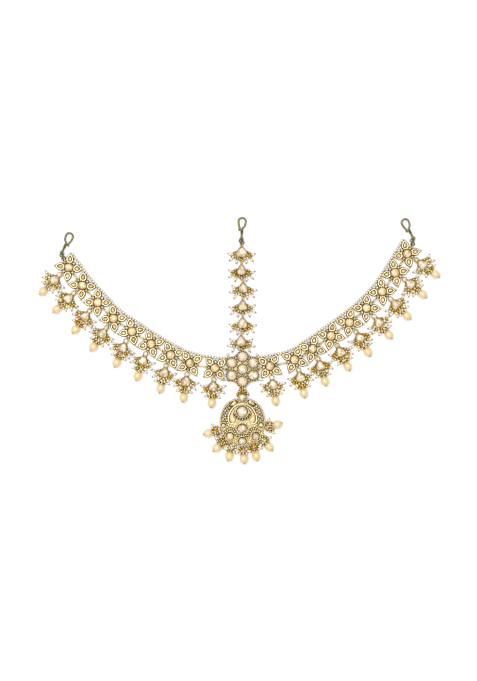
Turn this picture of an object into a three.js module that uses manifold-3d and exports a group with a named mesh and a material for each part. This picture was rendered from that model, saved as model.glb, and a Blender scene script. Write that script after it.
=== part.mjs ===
// A matha patti: a bridal head ornament laid out flat, face up. A forehead band of linked flower plates
// runs from temple to temple with a drop under each flower, a seven-stone centrepiece joins its two halves,
// a chain of leaf-shaped links climbs the hair parting above it, and a domed pendant hangs on the forehead
// below it. A wire hook ends each of the three strands.
//
// Millimetres and degrees. +Z is up, +Y points along the parting to the crown and +X to the wearer's left.
// The origin is the middle of the object's bounding box, on the surface that it lies on.
import * as THREE from "three";
import { mergeVertices } from "three/addons/utils/BufferGeometryUtils.js";
import Module from "manifold-3d";

const wasm = await Module();
wasm.setup();

// ---------------------------------------------------------------- driving dimensions

const GAP = 0.3; // between pieces that touch
const PLATE = 1.2; // thickness of a cast back plate
const RIM = 2.4; // height of a bezel above the surface
const STONE = 3.0; // height of a domed stone above the surface
const BEVEL = 0.5; // worn edge of a cast plate
const BAR = 0.9; // half the width of a connecting bar
const PIN = 0.35; // radius of a headpin
const BEAD = 1.35; // radius of a gold bead
const SEED = 1.1; // radius of a seed pearl
const KNOB = 0.8; // radius of the ball on a petal's tip
const WIRE = 0.5; // radius of the hooks' wire

// The forehead band, one row for each flower from the centrepiece outwards. step is the distance from the
// piece before it, rise how steeply that step climbs, and hang how far its drop points away from straight
// down.
const BAND = [
  { step: 20.9, rise: { left: 2, right: 6 }, hang: { left: 4, right: 8 } },
  { step: 19.4, rise: { left: 11, right: 15 }, hang: { left: 8, right: 14 } },
  { step: 15.9, rise: { left: 23, right: 31 }, hang: { left: 14, right: 18 } },
  { step: 17.1, rise: { left: 30, right: 35 }, hang: { left: 20, right: 26 } },
  { step: 17.3, rise: { left: 33, right: 36 }, hang: { left: 25, right: 31 } },
  { step: 17.0, rise: { left: 35, right: 40 }, hang: { left: 34, right: 38 } },
  { step: 17.2, rise: { left: 45, right: 47 }, hang: { left: 38, right: 43 } },
  { step: 17.3, rise: { left: 48, right: 55 }, hang: { left: 45, right: 51 } },
  { step: 17.2, rise: { left: 53, right: 58 }, hang: { left: 45, right: 51 } },
];

// The parting chain, one row for each link from the centrepiece upwards: sideways sway, and how far below
// level each of its two bead sprays points.
const PARTING = [
  { sway: -1.0, left: 12, right: 8 },
  { sway: 0.2, left: 40, right: 42 },
  { sway: 0.2, left: 44, right: 22 },
  { sway: 0.5, left: 10, right: 45 },
  { sway: -0.7, left: 32, right: 38 },
  { sway: -0.7, left: 42, right: 40 },
];

// The pearl drops round the pendant: where each hangs on the rim, and which way it points, both counted from
// straight down.
const PENDANT_DROPS = [
  { at: -72, points: -75 },
  { at: -47, points: -44 },
  { at: -25, points: -15 },
  { at: 1, points: 5 },
  { at: 26, points: 15 },
  { at: 51, points: 42 },
  { at: 77, points: 108 },
];

const FLOWER = { stone: 3.1, notch: 3.2, tip: 8.6, eye: 6.6, foot: 5.4 };
const LINK = { pitch: 13.5, first: 21.4, width: 8.9, height: 9.3, tail: 3.0, spray: 4.5 };
const CENTREPIECE = { stone: 3.7, ring: 9.4, eye: 11.0, knob: 13.1 };
const DROP = { collar: 2.0, leaf: 7.4, width: 5.9, spray: 4.0, top: 10.8, cluster: 14.9, pearlAt: 20.1 };
const PENDANT_DROP = { top: 0, cluster: 3.2, pearlAt: 8.4 };
const PEARL = { radius: 2.9, long: 1.14 };
const PENDANT = { y: -40.7, half: 17.2, top: 18.4, bottom: 17.8 };
const STRING = { radius: 1.1, steps: 38, sides: 5 };
const HOOK = { shank: 6.4, loop: 9.8, half: 3.15, tilt: { left: -25, centre: -2, right: 27 } };
const EYE = { radius: 1.2, wire: 0.4, z: 1.6 }; // a wire eye, lifted by the oval ring that passes under it
const RING = { half: { left: 3.1, centre: 2.0, right: 3.1 }, end: 1.2, wire: 0.4, segments: 12 };
const SIDES = { left: -1, right: 1 };

// ---------------------------------------------------------------- materials

const goldPlate = new THREE.MeshStandardMaterial({ color: 0xc2a468, roughness: 0.35, metalness: 1 });
const brassWire = new THREE.MeshStandardMaterial({ color: 0x93834a, roughness: 0.4, metalness: 1 });
const creamPearl = new THREE.MeshStandardMaterial({ color: 0xf2dfb6, roughness: 0.25, metalness: 0 });
const whitePearl = new THREE.MeshStandardMaterial({ color: 0xf7f1e8, roughness: 0.25, metalness: 0 });

// ---------------------------------------------------------------- shapes

const radians = THREE.MathUtils.degToRad;
const ORIGIN = new THREE.Vector2();

// A closed geometry as a solid. Only positions count, so that faces share their corners.
function solidOf(geometry) {
  const bare = geometry.index ? geometry.toNonIndexed() : geometry.clone();
  bare.deleteAttribute("normal");
  bare.deleteAttribute("uv");
  const merged = mergeVertices(bare, 1e-4);
  return new wasm.Manifold(
    new wasm.Mesh({
      numProp: 3,
      vertProperties: new Float32Array(merged.attributes.position.array),
      triVerts: new Uint32Array(merged.index.array),
    }),
  );
}

// A named mesh of overlapping closed geometries joined into one body.
function joined(name, geometries, material) {
  const body = geometries.map(solidOf).reduce((whole, piece) => whole.add(piece));
  const { vertProperties, triVerts } = body.getMesh();
  const geometry = new THREE.BufferGeometry();
  geometry.setAttribute("position", new THREE.BufferAttribute(vertProperties, 3));
  geometry.setIndex(new THREE.BufferAttribute(triVerts, 1));
  const mesh = new THREE.Mesh(geometry, material);
  mesh.name = name;
  return mesh;
}

// Copies of geometries turned about +Z and then moved.
function placed(geometries, { x = 0, y = 0, z = 0, turn = 0 }) {
  return geometries.map((geometry) => geometry.clone().rotateZ(radians(turn)).translate(x, y, z));
}

// A piece's own point on the surface, seen from outside, and the other way round.
function pointOut(place, x, y) {
  return new THREE.Vector2(x, y).rotateAround(ORIGIN, radians(place.turn)).add(place);
}

function pointIn(place, point) {
  return point.clone().sub(place).rotateAround(ORIGIN, -radians(place.turn));
}

// A rounded leaf with its round end at the origin and its point at (0, length).
function leafOutline(length, width) {
  const reach = (width * 2) / 3; // a cubic curve reaches three quarters of the way to its handles
  const outline = new THREE.Shape();
  outline.bezierCurveTo(reach, -0.06 * length, reach, 0.5 * length, 0, length);
  outline.bezierCurveTo(-reach, 0.5 * length, -reach, -0.06 * length, 0, 0);
  return outline;
}

// A plate of an outline that stands on z = 0, with or without a bevel round both of its faces.
function plate(outline, height, bevel = 0, curveSegments = 4) {
  return new THREE.ExtrudeGeometry(outline, {
    depth: height - 2 * bevel,
    bevelEnabled: bevel > 0,
    bevelThickness: bevel,
    bevelSize: bevel,
    bevelOffset: -bevel,
    bevelSegments: 1,
    curveSegments,
  }).translate(0, 0, bevel);
}

// Four petals along the diagonals: each runs from a notch beside it, out to its tip and in to the next notch.
function flowerOutline({ notch, tip }) {
  const outline = new THREE.Shape();
  for (const turn of [0, 90, 180, 270]) {
    const at = (x, y) => new THREE.Vector2(x, y).rotateAround(ORIGIN, radians(turn)).toArray();
    if (turn === 0) outline.moveTo(...at(notch, 0));
    const point = tip * Math.SQRT1_2;
    outline.bezierCurveTo(...at(5.6, -0.4), ...at(6.2, 3.0), ...at(point, point));
    outline.bezierCurveTo(...at(3.0, 6.2), ...at(-0.4, 5.6), ...at(0, notch));
  }
  return outline;
}

// A stone in a leaf-shaped bezel, its point up and the middle of its length at the origin.
function leafSetting(length, width, bevel = BEVEL) {
  return plate(leafOutline(length, width), STONE, bevel).translate(0, -length / 2, 0);
}

// A stone in a round bezel, its flat top narrower than the bezel.
function roundSetting(radius, height = STONE, segments = 8) {
  const profile = [
    [0, 0],
    [radius, 0],
    [radius, height * 0.75],
    [radius * 0.6, height],
    [0, height],
  ];
  return new THREE.LatheGeometry(
    profile.map(([r, z]) => new THREE.Vector2(r, z)),
    segments,
  ).rotateX(Math.PI / 2);
}

// A disc with its lower face on z = 0.
function disc(radius, height, segments = 8) {
  return plate(new THREE.Shape().absarc(0, 0, radius, 0, 2 * Math.PI), height, 0, segments / 2);
}

// A bead resting on the surface, or centred at the height given.
function bead(radius, z = radius, detail = 0) {
  return new THREE.IcosahedronGeometry(radius, detail).translate(0, 0, z);
}

// A bead too small to need more than eight faces.
function smallBead(radius, z = radius) {
  return new THREE.OctahedronGeometry(radius).translate(0, 0, z);
}

// A straight pin between two points, each [x, y, z].
function pin(from, to, radius = PIN) {
  const start = new THREE.Vector3(...from);
  const run = new THREE.Vector3(...to).sub(start);
  const turn = new THREE.Quaternion().setFromUnitVectors(new THREE.Vector3(0, 1, 0), run.clone().normalize());
  return new THREE.CylinderGeometry(radius, radius, run.length(), 4)
    .applyQuaternion(turn)
    .translate(...start.addScaledVector(run, 0.5).toArray());
}

// A flat bar from the origin to a point, the middle of its round far end.
function bar(to, half = BAR, height = PLATE) {
  const length = to.length();
  const outline = new THREE.Shape();
  outline.moveTo(0, -half).lineTo(length, -half);
  outline.absarc(length, 0, half, -Math.PI / 2, Math.PI / 2);
  outline.lineTo(0, half);
  return plate(outline, height, 0, 2).rotateZ(to.angle());
}

// A ring of wire lying level.
function wireEye({ radius, wire, z }) {
  return new THREE.TorusGeometry(radius, wire, 4, 9).translate(0, 0, z);
}

// ---------------------------------------------------------------- bead work

// A spray: a gold bead with three seed pearls fanned out behind it, pointing along +X from the origin.
function spray() {
  const seed = smallBead(SEED).translate(BEAD + SEED / 2, 0, 0);
  return [bead(BEAD), ...[-56, 0, 56].flatMap((turn) => placed([seed], { turn }))];
}

// A pearl on its pin below a cluster of three gold beads, hanging along -Y from the origin.
function pearlDrop({ top, cluster, pearlAt }) {
  return [
    pin([0, -top, BEAD], [0, -pearlAt, BEAD]),
    ...placed([smallBead(BEAD)], { y: -cluster + 1.0 }),
    ...[-1, 1].flatMap((side) => placed([smallBead(BEAD)], { x: side * 1.1, y: -cluster - 0.9 })),
    bead(PEARL.radius, PEARL.radius, 1).scale(1, PEARL.long, 1).translate(0, -pearlAt, 0),
    smallBead(KNOB, PEARL.radius).translate(0, -pearlAt - PEARL.radius * PEARL.long - KNOB / 2, 0),
  ];
}

// The drop under a flower: a collar stone, a leaf stone with a spray at each side, and a pearl.
function bandDrop(name) {
  const { collar, leaf, width } = DROP;
  const leafAt = -2 * collar - leaf / 2 + GAP;
  const sprays = Object.values(SIDES).flatMap((side) =>
    placed(spray(), { x: side * DROP.spray, y: leafAt - 1.4, turn: side > 0 ? -42 : 222 }),
  );
  return joined(
    name,
    [
      disc(collar, RIM).translate(0, -collar, 0),
      leafSetting(leaf, width, 0).translate(0, leafAt, 0),
      ...sprays,
      ...pearlDrop(DROP),
    ],
    creamPearl,
  );
}

// ---------------------------------------------------------------- the pieces

// A flower plate: four leaf stones round a fifth, a bar that reaches to the piece before it, one that the
// next piece reaches to, and one for its drop. The last flower of a strand has a wire eye in place of the
// second.
function flower(name, reach, side, isLast) {
  const knobs = [45, 135, 225, 315].flatMap((turn) =>
    placed([smallBead(KNOB, PLATE).translate(FLOWER.tip, 0, 0)], { turn }),
  );
  const petals = plate(flowerOutline(FLOWER), RIM, 0, 2);
  const outer = isLast
    ? [
        wireEye(EYE).translate(side * FLOWER.eye, 0, 0),
        bar(new THREE.Vector2(side * (FLOWER.eye - EYE.radius - BAR), 0), BAR, RIM),
      ]
    : [bar(new THREE.Vector2(side * FLOWER.eye, 0))];
  const foot = bar(new THREE.Vector2(0, -FLOWER.foot));
  return joined(name, [petals, disc(FLOWER.stone, STONE), ...knobs, bar(reach), foot, ...outer], goldPlate);
}

// One link of the parting chain: a leaf stone with its point up, a tail of granules and a spray at each side.
// The topmost link ends in a wire eye.
function partingLink(name, row, isLast) {
  const foot = -LINK.height / 2;
  const tip = LINK.height / 2;
  const granules = [
    { x: -1.1, y: foot - 0.2 },
    { x: 1.1, y: foot - 0.2 },
    { x: 0, y: foot - 1.9 },
  ].flatMap((at) => placed([bead(1.15)], at));
  const sprays = [
    { x: LINK.spray, y: foot + 1.7, turn: -row.right },
    { x: -LINK.spray, y: foot + 1.7, turn: 180 + row.left },
  ].flatMap((at) => placed(spray(), at));
  return joined(
    name,
    [
      leafSetting(LINK.height, LINK.width, 0),
      ...granules,
      ...sprays,
      bar(new THREE.Vector2(0, foot - LINK.tail + BAR)),
      isLast ? wireEye(EYE).translate(0, tip + EYE.radius, 0) : bar(new THREE.Vector2(0, tip)),
    ],
    goldPlate,
  );
}

// The centrepiece: six stones round a seventh, granules and bars in the notches, and a knob beside each of
// the four side stones. A thin wire runs from each lower knob to the nearest drop.
function centrepiece() {
  const { stone, ring, eye, knob } = CENTREPIECE;
  const round = (turns, geometry) => turns.flatMap((turn) => placed([geometry], { turn }));
  return joined(
    "centrepiece",
    [
      disc(ring, PLATE, 12),
      roundSetting(stone),
      ...round([30, 90, 150, 210, 270, 330], roundSetting(stone).translate(ring, 0, 0)),
      ...round([60, 120, 240, 300], bead(1.2, PLATE).translate(ring + 0.6, 0, 0)),
      ...round([0, 180], bar(new THREE.Vector2(eye, 0))),
      ...round([38, 142, 218, 322], smallBead(KNOB, PLATE).translate(knob, 0, 0)),
      ...Object.values(SIDES).map((side) => pin([side * 10, -8.1, 0.6], [side * 16.6, -8.6, 0.6])),
    ],
    goldPlate,
  );
}

// The small link between the centrepiece and the pendant: granules above a leaf stone with its point down.
function bailLink() {
  const top = -CENTREPIECE.ring - CENTREPIECE.stone - GAP;
  const granules = [
    { x: 0, y: top - 1.3 },
    { x: -1.1, y: top - 3.0 },
    { x: 1.1, y: top - 3.0 },
    { x: -3.1, y: top - 4.9 },
    { x: 0, y: top - 5.0 },
    { x: 3.1, y: top - 4.9 },
  ].flatMap((at) => placed([bead(1.3)], at));
  const stone = placed([leafSetting(6.0, 6.4)], { y: top - 8.5, turn: 180 });
  const spine = pin([0, top - 1.3, BEAD], [0, top - 7, BEAD]);
  const crossbar = pin([-3.1, top - 4.9, BEAD], [3.1, top - 4.9, BEAD]);
  return joined("bail_link", [...stone, ...granules, spine, crossbar], goldPlate);
}

// The pendant's outline: round below, with two soft shoulders above and a notch between them for the bail
// link.
function pendantOutline() {
  const { half, top, bottom } = PENDANT;
  const outline = new THREE.Shape();
  outline.moveTo(-1.2, top - 2.9);
  outline.lineTo(1.2, top - 2.9);
  outline.lineTo(4.2, top);
  outline.bezierCurveTo(half * 0.72, top - 1.5, half, half * 0.55, half, 0);
  outline.bezierCurveTo(half, -bottom * 0.56, half * 0.56, -bottom, 0, -bottom);
  outline.bezierCurveTo(-half * 0.56, -bottom, -half, -bottom * 0.56, -half, 0);
  outline.bezierCurveTo(-half, half * 0.55, -half * 0.72, top - 1.5, -4.2, top);
  return outline;
}

// A crescent that opens downwards, with blunt horns.
function crescentOutline(radius, width) {
  const outline = new THREE.Shape();
  outline.absarc(0, 0, radius, radians(-42), radians(222));
  outline.absarc(0, 0, radius - width, radians(222), radians(-42), true);
  return outline;
}

// The pendant: a domed stone under a crescent, a round stone below it and five more along the lower rim.
function pendant() {
  const rimStones = [
    { x: -14.3, y: -2.2, r: 2.0 },
    { x: -9.6, y: -10.2, r: 3.2 },
    { x: 0, y: -13.6, r: 3.3 },
    { x: 9.6, y: -10.2, r: 3.2 },
    { x: 14.3, y: -2.2, r: 2.0 },
  ];
  return joined(
    "pendant",
    [
      plate(pendantOutline(), RIM, BEVEL, 6),
      plate(crescentOutline(10.6, 4.2), 3.6, 0, 10).translate(0, 4.5, 0),
      roundSetting(4.5, 5.0, 12).translate(0, 7.8, 0),
      roundSetting(3.6, 4.2, 12).translate(0, -4.2, 0),
      ...rimStones.flatMap(({ x, y, r }) => placed([roundSetting(r, 4.0)], { x, y })),
    ],
    goldPlate,
  );
}

// A hook of round wire that rises from a lifted eye to a straight shank, opens into a pear-shaped loop and
// comes back beside the shank. handed is the side that its tip lies on.
function hook(name, handed) {
  const { shank, loop, half } = HOOK;
  const start = EYE.radius + EYE.wire;
  const top = start + shank + loop;
  const wide = start + shank + loop * 0.6;
  const route = new THREE.CatmullRomCurve3(
    [
      [0, start - 0.2, EYE.z],
      [0, start + 2.6, WIRE],
      [0, start + 2.8, WIRE],
      [0, start + shank - 0.4, WIRE],
      [-half * 0.72, start + shank + loop * 0.25, WIRE],
      [-half, wide, WIRE],
      [-half * 0.78, top - WIRE - 0.9, WIRE],
      [0, top - WIRE, WIRE],
      [half * 0.78, top - WIRE - 0.9, WIRE],
      [half, wide, WIRE],
      [half * 0.84, start + shank + loop * 0.25, WIRE],
      [1.7, start + shank + 0.2, WIRE],
      [2.0, start + shank - 1.0, WIRE],
    ].map(([x, y, z]) => new THREE.Vector3(x * handed, y, z)),
  );
  const section = new THREE.Shape().absarc(0, 0, WIRE, 0, 2 * Math.PI);
  const wire = new THREE.ExtrudeGeometry(section, { steps: 30, extrudePath: route, curveSegments: 3 });
  const tipBall = bead(KNOB).translate(2.1 * handed, start + shank - 1.1, 0);
  return joined(name, [wire, wireEye(EYE), tipBall], brassWire);
}

// The oval ring between two lifted eyes, standing on edge along Y with its middle at the origin: a round ring
// whose two halves are moved apart.
function ovalRing(name, half) {
  const { end, wire, segments } = RING;
  const ring = new THREE.TorusGeometry(end, wire, 5, segments).rotateZ(Math.PI / segments).rotateY(Math.PI / 2);
  const corners = ring.attributes.position;
  for (let i = 0; i < corners.count; i++) {
    const y = corners.getY(i);
    corners.setY(i, y + Math.sign(y) * (half - end));
  }
  return joined(name, [ring.translate(0, 0, end + wire)], brassWire);
}

// The string of seed pearls along the band's inner edge, from the centrepiece's knob past every petal tip
// on that side.
function pearlString(name, points) {
  const { radius, steps, sides } = STRING;
  const route = new THREE.CatmullRomCurve3(points.map((p) => new THREE.Vector3(p.x, p.y, radius)));
  const corners = Array.from({ length: sides }, (_, i) => (i / sides) * 2 * Math.PI);
  const section = new THREE.Shape().setFromPoints(
    corners.map((angle) => new THREE.Vector2(radius, 0).rotateAround(ORIGIN, angle)),
  );
  return joined(name, [new THREE.ExtrudeGeometry(section, { steps, extrudePath: route })], whitePearl);
}

// ---------------------------------------------------------------- assembly

// Puts a mesh down at a place on the surface.
function put(mesh, { x, y, turn = 0 }) {
  mesh.position.set(x, y, 0);
  mesh.rotation.z = radians(turn);
  return mesh;
}

// The ring and hook that end a strand, beyond the lifted eye at the point given and in line with the turn
// given.
function fastening(side, eye, turn, handed) {
  const eyePlace = { x: eye.x, y: eye.y, turn };
  const half = RING.half[side];
  const middle = pointOut(eyePlace, 0, half);
  const far = pointOut(eyePlace, 0, 2 * half);
  return [
    put(ovalRing(`hook_ring_${side}`, half), { x: middle.x, y: middle.y, turn }),
    put(hook(`hook_${side}`, handed), { x: far.x, y: far.y, turn: HOOK.tilt[side] }),
  ];
}

// Where each flower lies and how it is turned, from the centrepiece outwards.
function flowerPlaces(side) {
  const sign = SIDES[side];
  const places = [];
  let at = ORIGIN;
  BAND.forEach(({ step, rise }, i) => {
    const next = BAND[i + 1] ?? BAND[i];
    at = new THREE.Vector2(sign * step, 0).rotateAround(ORIGIN, sign * radians(rise[side])).add(at);
    places.push({ x: at.x, y: at.y, turn: (sign * (rise[side] + next.rise[side])) / 2 });
  });
  return places;
}

// One half of the forehead band, with its drops, its pearl string and its fastening.
function halfBand(side) {
  const sign = SIDES[side];
  const half = new THREE.Group();
  const stringPoints = [new THREE.Vector2(sign * 11.2, 11.0)];
  let before = new THREE.Vector2(sign * CENTREPIECE.eye, 0);
  flowerPlaces(side).forEach((place, i) => {
    const isLast = i === BAND.length - 1;
    const target = pointIn(place, before);
    const reach = target.setLength(target.length() - 2 * BAR - GAP);
    half.add(put(flower(`flower_${side}_${i + 1}`, reach, sign, isLast), place));
    before = pointOut(place, sign * FLOWER.eye, 0);

    const hangs = pointOut(place, 0, -FLOWER.foot - BAR - GAP);
    const turn = sign * BAND[i].hang[side];
    half.add(put(bandDrop(`drop_${side}_${i + 1}`), { x: hangs.x, y: hangs.y, turn }));
    for (const end of [-sign, sign]) stringPoints.push(pointOut(place, end * 6.3, 8.3));
  });
  half.add(pearlString(`pearl_string_${side}`, stringPoints));
  half.add(...fastening(side, before, -sign * 12, -sign));
  return half;
}

const model = new THREE.Group();
model.add(centrepiece(), bailLink(), put(pendant(), { x: 0, y: PENDANT.y }));

PARTING.forEach((row, i) => {
  const link = partingLink(`parting_link_${i + 1}`, row, i === PARTING.length - 1);
  model.add(put(link, { x: row.sway, y: LINK.first + i * LINK.pitch }));
});
const topLink = { x: PARTING.at(-1).sway, y: LINK.first + (PARTING.length - 1) * LINK.pitch };
const topEye = new THREE.Vector2(topLink.x, topLink.y + LINK.height / 2 + EYE.radius);
model.add(...fastening("centre", topEye, 0, -1));

PENDANT_DROPS.forEach(({ at, points }, i) => {
  const rim = pointOut({ x: 0, y: PENDANT.y, turn: at }, 0, -PENDANT.bottom - GAP);
  const drop = joined(`pendant_drop_${i + 1}`, pearlDrop(PENDANT_DROP), creamPearl);
  model.add(put(drop, { x: rim.x, y: rim.y, turn: points }));
});

for (const side of Object.keys(SIDES)) model.add(halfBand(side));

// The object rests on z = 0 with its middle at the origin.
const bounds = new THREE.Box3().setFromObject(model, true);
const middle = bounds.getCenter(new THREE.Vector3());
model.position.set(-middle.x, -middle.y, -bounds.min.z);

export default model;
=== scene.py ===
"""Dresses a matha patti, a bridal head ornament of antique gold, pearls and foiled stones, and lights it.

Sizes are in millimetres and angles in degrees until a piece becomes a mesh, which is in metres.
"""

from __future__ import annotations

import logging
import math
import random
from collections.abc import Callable, Iterable, Mapping, Sequence
from dataclasses import dataclass, field, fields, replace
from enum import Enum
from typing import Self

import bpy
import numpy as np
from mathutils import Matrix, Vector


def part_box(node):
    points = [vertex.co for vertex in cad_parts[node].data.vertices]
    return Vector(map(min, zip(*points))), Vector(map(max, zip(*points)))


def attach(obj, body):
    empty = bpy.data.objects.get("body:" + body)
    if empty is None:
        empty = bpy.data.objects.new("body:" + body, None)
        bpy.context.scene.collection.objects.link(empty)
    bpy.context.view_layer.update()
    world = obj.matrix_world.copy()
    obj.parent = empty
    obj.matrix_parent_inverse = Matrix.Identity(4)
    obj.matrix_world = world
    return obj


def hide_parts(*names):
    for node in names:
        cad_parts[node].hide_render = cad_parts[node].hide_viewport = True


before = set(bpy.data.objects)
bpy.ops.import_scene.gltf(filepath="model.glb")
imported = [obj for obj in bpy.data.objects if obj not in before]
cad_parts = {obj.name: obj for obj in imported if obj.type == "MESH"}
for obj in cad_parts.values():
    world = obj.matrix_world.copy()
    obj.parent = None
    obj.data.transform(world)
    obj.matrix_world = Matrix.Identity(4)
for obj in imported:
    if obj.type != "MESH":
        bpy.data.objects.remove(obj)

log = logging.getLogger("matha_patti")

METRES = 0.001
DEEP_YELLOW = 1.3  # the tone of the yellowest grains
# shade holds painted shade, which on metal also stands for patina in its hollows
SHADE = "shade"  # 0 on a polished height or the middle of a stone, 1 in a recess or at a stone's edge
TONE = "tone"  # from 0 to about 1, a piece's own place between the colours of its finish


# ---- places and shapes


@dataclass(frozen=True)
class Place:
    """A point on the table and a turn about the vertical there."""

    x: float = 0.0
    y: float = 0.0
    turn: float = 0.0

    def out(self, points: np.ndarray) -> np.ndarray:
        """Finds where points of this place's own plane lie.

        Args:
            points: The points, as seen from here.

        Returns:
            The points, as seen from outside.
        """
        angle = math.radians(self.turn)
        cos, sin = math.cos(angle), math.sin(angle)
        x, y = points[..., 0], points[..., 1]
        moved = np.array(points, float)
        moved[..., 0] = cos * x - sin * y + self.x
        moved[..., 1] = sin * x + cos * y + self.y
        return moved

    def at(self, x: float, y: float) -> tuple[float, float]:
        """One point of this place's own plane, as seen from outside it."""
        moved = self.out(np.array([x, y], float))
        return float(moved[0]), float(moved[1])

    def then(self, inner: Place) -> Place:
        """A place given inside this one, as seen from outside it."""
        x, y = self.at(inner.x, inner.y)
        return Place(x, y, self.turn + inner.turn)


UPRIGHT = Place(turn=90)  # turns what lies along +X to point up the table


@dataclass
class Cornered:
    """Anything with corners: it can be moved, turned about the origin and joined to others of its kind."""

    points: np.ndarray = field(default_factory=lambda: np.zeros((0, 3)))

    COUNTED = ("quads", "tris", "edges")  # fields that name corners by their number

    @classmethod
    def joined(cls, parts: Iterable[Self]) -> Self:
        """Makes several of a kind one.

        Args:
            parts: The parts.

        Returns:
            All of them, in order.
        """
        kept = list(parts)
        starts = np.cumsum([0] + [len(part.points) for part in kept[:-1]])
        made = {}
        for name in (each.name for each in fields(cls)):
            columns = [getattr(part, name) for part in kept]
            if name in cls.COUNTED:
                columns = [column + start for column, start in zip(columns, starts)]
            made[name] = np.concatenate(columns)
        return cls(**made)

    def placed(self, place: Place) -> Self:
        """A copy at another place."""
        return replace(self, points=place.out(self.points))

    def around(self, turns: Iterable[float]) -> Self:
        """Copies turned about the origin, joined."""
        return self.joined(self.placed(Place(turn=turn)) for turn in turns)


@dataclass
class Shape(Cornered):
    """A surface: its corners, its faces, and a shade and a tone for each corner."""

    quads: np.ndarray = field(default_factory=lambda: np.zeros((0, 4), int))
    tris: np.ndarray = field(default_factory=lambda: np.zeros((0, 3), int))
    shade: np.ndarray = field(default_factory=lambda: np.zeros(0))
    tone: np.ndarray = field(default_factory=lambda: np.zeros(0))

    def toned(self, tone: float) -> Shape:
        """A copy with one tone all over."""
        return replace(self, tone=np.full(len(self.points), tone))

    def aged(self, shade: float) -> Shape:
        """A copy whose painted shade, and on metal patina, is deeper all over by shade, or lighter where
        shade is under 0.
        """
        return replace(self, shade=np.clip(self.shade + shade, 0.0, 1.0))


# ---- outlines and what stands on them


def bezier(
    start: Sequence[float], first: Sequence[float], second: Sequence[float], end: Sequence[float], steps: int
) -> np.ndarray:
    """Points along a cubic curve.

    Args:
        start: Where it starts.
        first: The handle at its start.
        second: The handle at its end.
        end: Where it ends.
        steps: How many points.

    Returns:
        The points, with both ends.
    """
    a, b, c, d = (np.array(point, float) for point in (start, first, second, end))
    t = np.linspace(0, 1, steps)[:, None]
    return (1 - t) ** 3 * a + 3 * (1 - t) ** 2 * t * b + 3 * (1 - t) * t**2 * c + t**3 * d


def flowing(points: Sequence[Sequence[float]], steps: int) -> np.ndarray:
    """A smooth line through points.

    Args:
        points: The points, of any number of axes.
        steps: How many steps lie between each two.

    Returns:
        The line, with both ends.
    """
    given = np.array(points, float)
    padded = np.concatenate([[2 * given[0] - given[1]], given, [2 * given[-1] - given[-2]]])
    t = np.linspace(0, 1, steps, endpoint=False)[:, None]
    runs = []
    for a, b, c, d in zip(padded, padded[1:], padded[2:], padded[3:]):
        bend, twist = 2 * a - 5 * b + 4 * c - d, 3 * b - a - 3 * c + d
        runs.append(0.5 * (2 * b + (c - a) * t + bend * t**2 + twist * t**3))
    return np.concatenate([*runs, given[-1:]])


def evenly(outline: np.ndarray, count: int) -> np.ndarray:
    """Spaces the points of a closed outline evenly along it.

    Args:
        outline: The outline.
        count: How many points it gets.

    Returns:
        The new outline.
    """
    closed = np.concatenate([outline, outline[:1]])
    lengths = np.linalg.norm(np.diff(closed, axis=0), axis=1)
    walked = np.concatenate([[0.0], np.cumsum(lengths)])
    stops = np.linspace(0, walked[-1], count, endpoint=False)
    return np.stack([np.interp(stops, walked, closed[:, axis]) for axis in (0, 1)], 1)


def leftward(along: np.ndarray) -> np.ndarray:
    """Unit vectors that point to the left of each direction."""
    return np.stack([-along[:, 1], along[:, 0]], 1) / np.linalg.norm(along, axis=1)[:, None]


@dataclass(frozen=True)
class Round:
    """A circle, or a circle with lobes, flattened along Y if squeeze is under 1."""

    radius: float
    sides: int
    lobes: int = 0
    swell: float = 0.0
    squeeze: float = 1.0

    def ring(self, inset: float) -> np.ndarray:
        """The outline, moved inwards by inset."""
        turn = np.arange(self.sides) * 2 * math.pi / self.sides
        reach = (self.radius - inset) * (1 + self.swell * np.cos(self.lobes * turn))
        return np.stack([reach * np.cos(turn), reach * np.sin(turn) * self.squeeze], 1)


@dataclass(frozen=True)
class Leaf:
    """A leaf along +X, with a blunt root and a pointed tip."""

    root: float
    tip: float
    half: float
    fullness: float
    steps: int
    taper: float = -0.06

    @property
    def handle(self) -> float:
        """How far the curve's handles reach to each side, so that it is as wide as it should be."""
        return self.half * 4 / 3

    def within(self, inset: float) -> Leaf:
        """The leaf that lies inside this one, all round.

        Args:
            inset: How far inside.

        Returns:
            The smaller leaf.
        """
        handle = self.handle
        slant = math.hypot(handle, (self.tip - self.root) * (1 - self.fullness)) / handle
        tip, half = self.tip - slant * inset, max(self.half - inset, 0.02)
        return replace(self, root=self.root + inset, tip=tip, half=half)

    def ring(self, inset: float) -> np.ndarray:
        """The outline of the leaf inside this one.

        Args:
            inset: How far inside.

        Returns:
            Its points, anticlockwise from its root.
        """
        leaf = self.within(inset)
        length = leaf.tip - leaf.root
        first = (leaf.root + leaf.taper * length, -leaf.handle)
        second = (leaf.root + leaf.fullness * length, -leaf.handle)
        side = bezier((leaf.root, 0), first, second, (leaf.tip, 0), self.steps)
        return np.concatenate([side, side[-2:0:-1] * [1, -1]])

    def discs(self, place: Place) -> list[Disc]:
        """Discs that cover the leaf.

        Args:
            place: Where the leaf lies.

        Returns:
            The discs, as seen from outside that place.
        """
        past = 0.3
        side = self.ring(0.0)[1 : self.steps - 1]
        reaches = [min(abs(y) * 0.96, x - self.root + past, self.tip - x + past) for x, y in side]
        return [(*place.at(x, 0), reach) for x, reach in zip(side[:, 0], reaches)]


@dataclass(frozen=True)
class Contour:
    """Any closed outline whose every point is seen from its middle, given anticlockwise."""

    points: np.ndarray

    def ring(self, inset: float) -> np.ndarray:
        """The outline, moved inwards by inset."""
        along = np.roll(self.points, -1, 0) - np.roll(self.points, 1, 0)
        return self.points + inset * leftward(along)


Outline = Round | Leaf | Contour
Step = tuple[float, float, float]  # inset, height and shade
Disc = tuple[float, float, float]  # X, Y and radius


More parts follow.
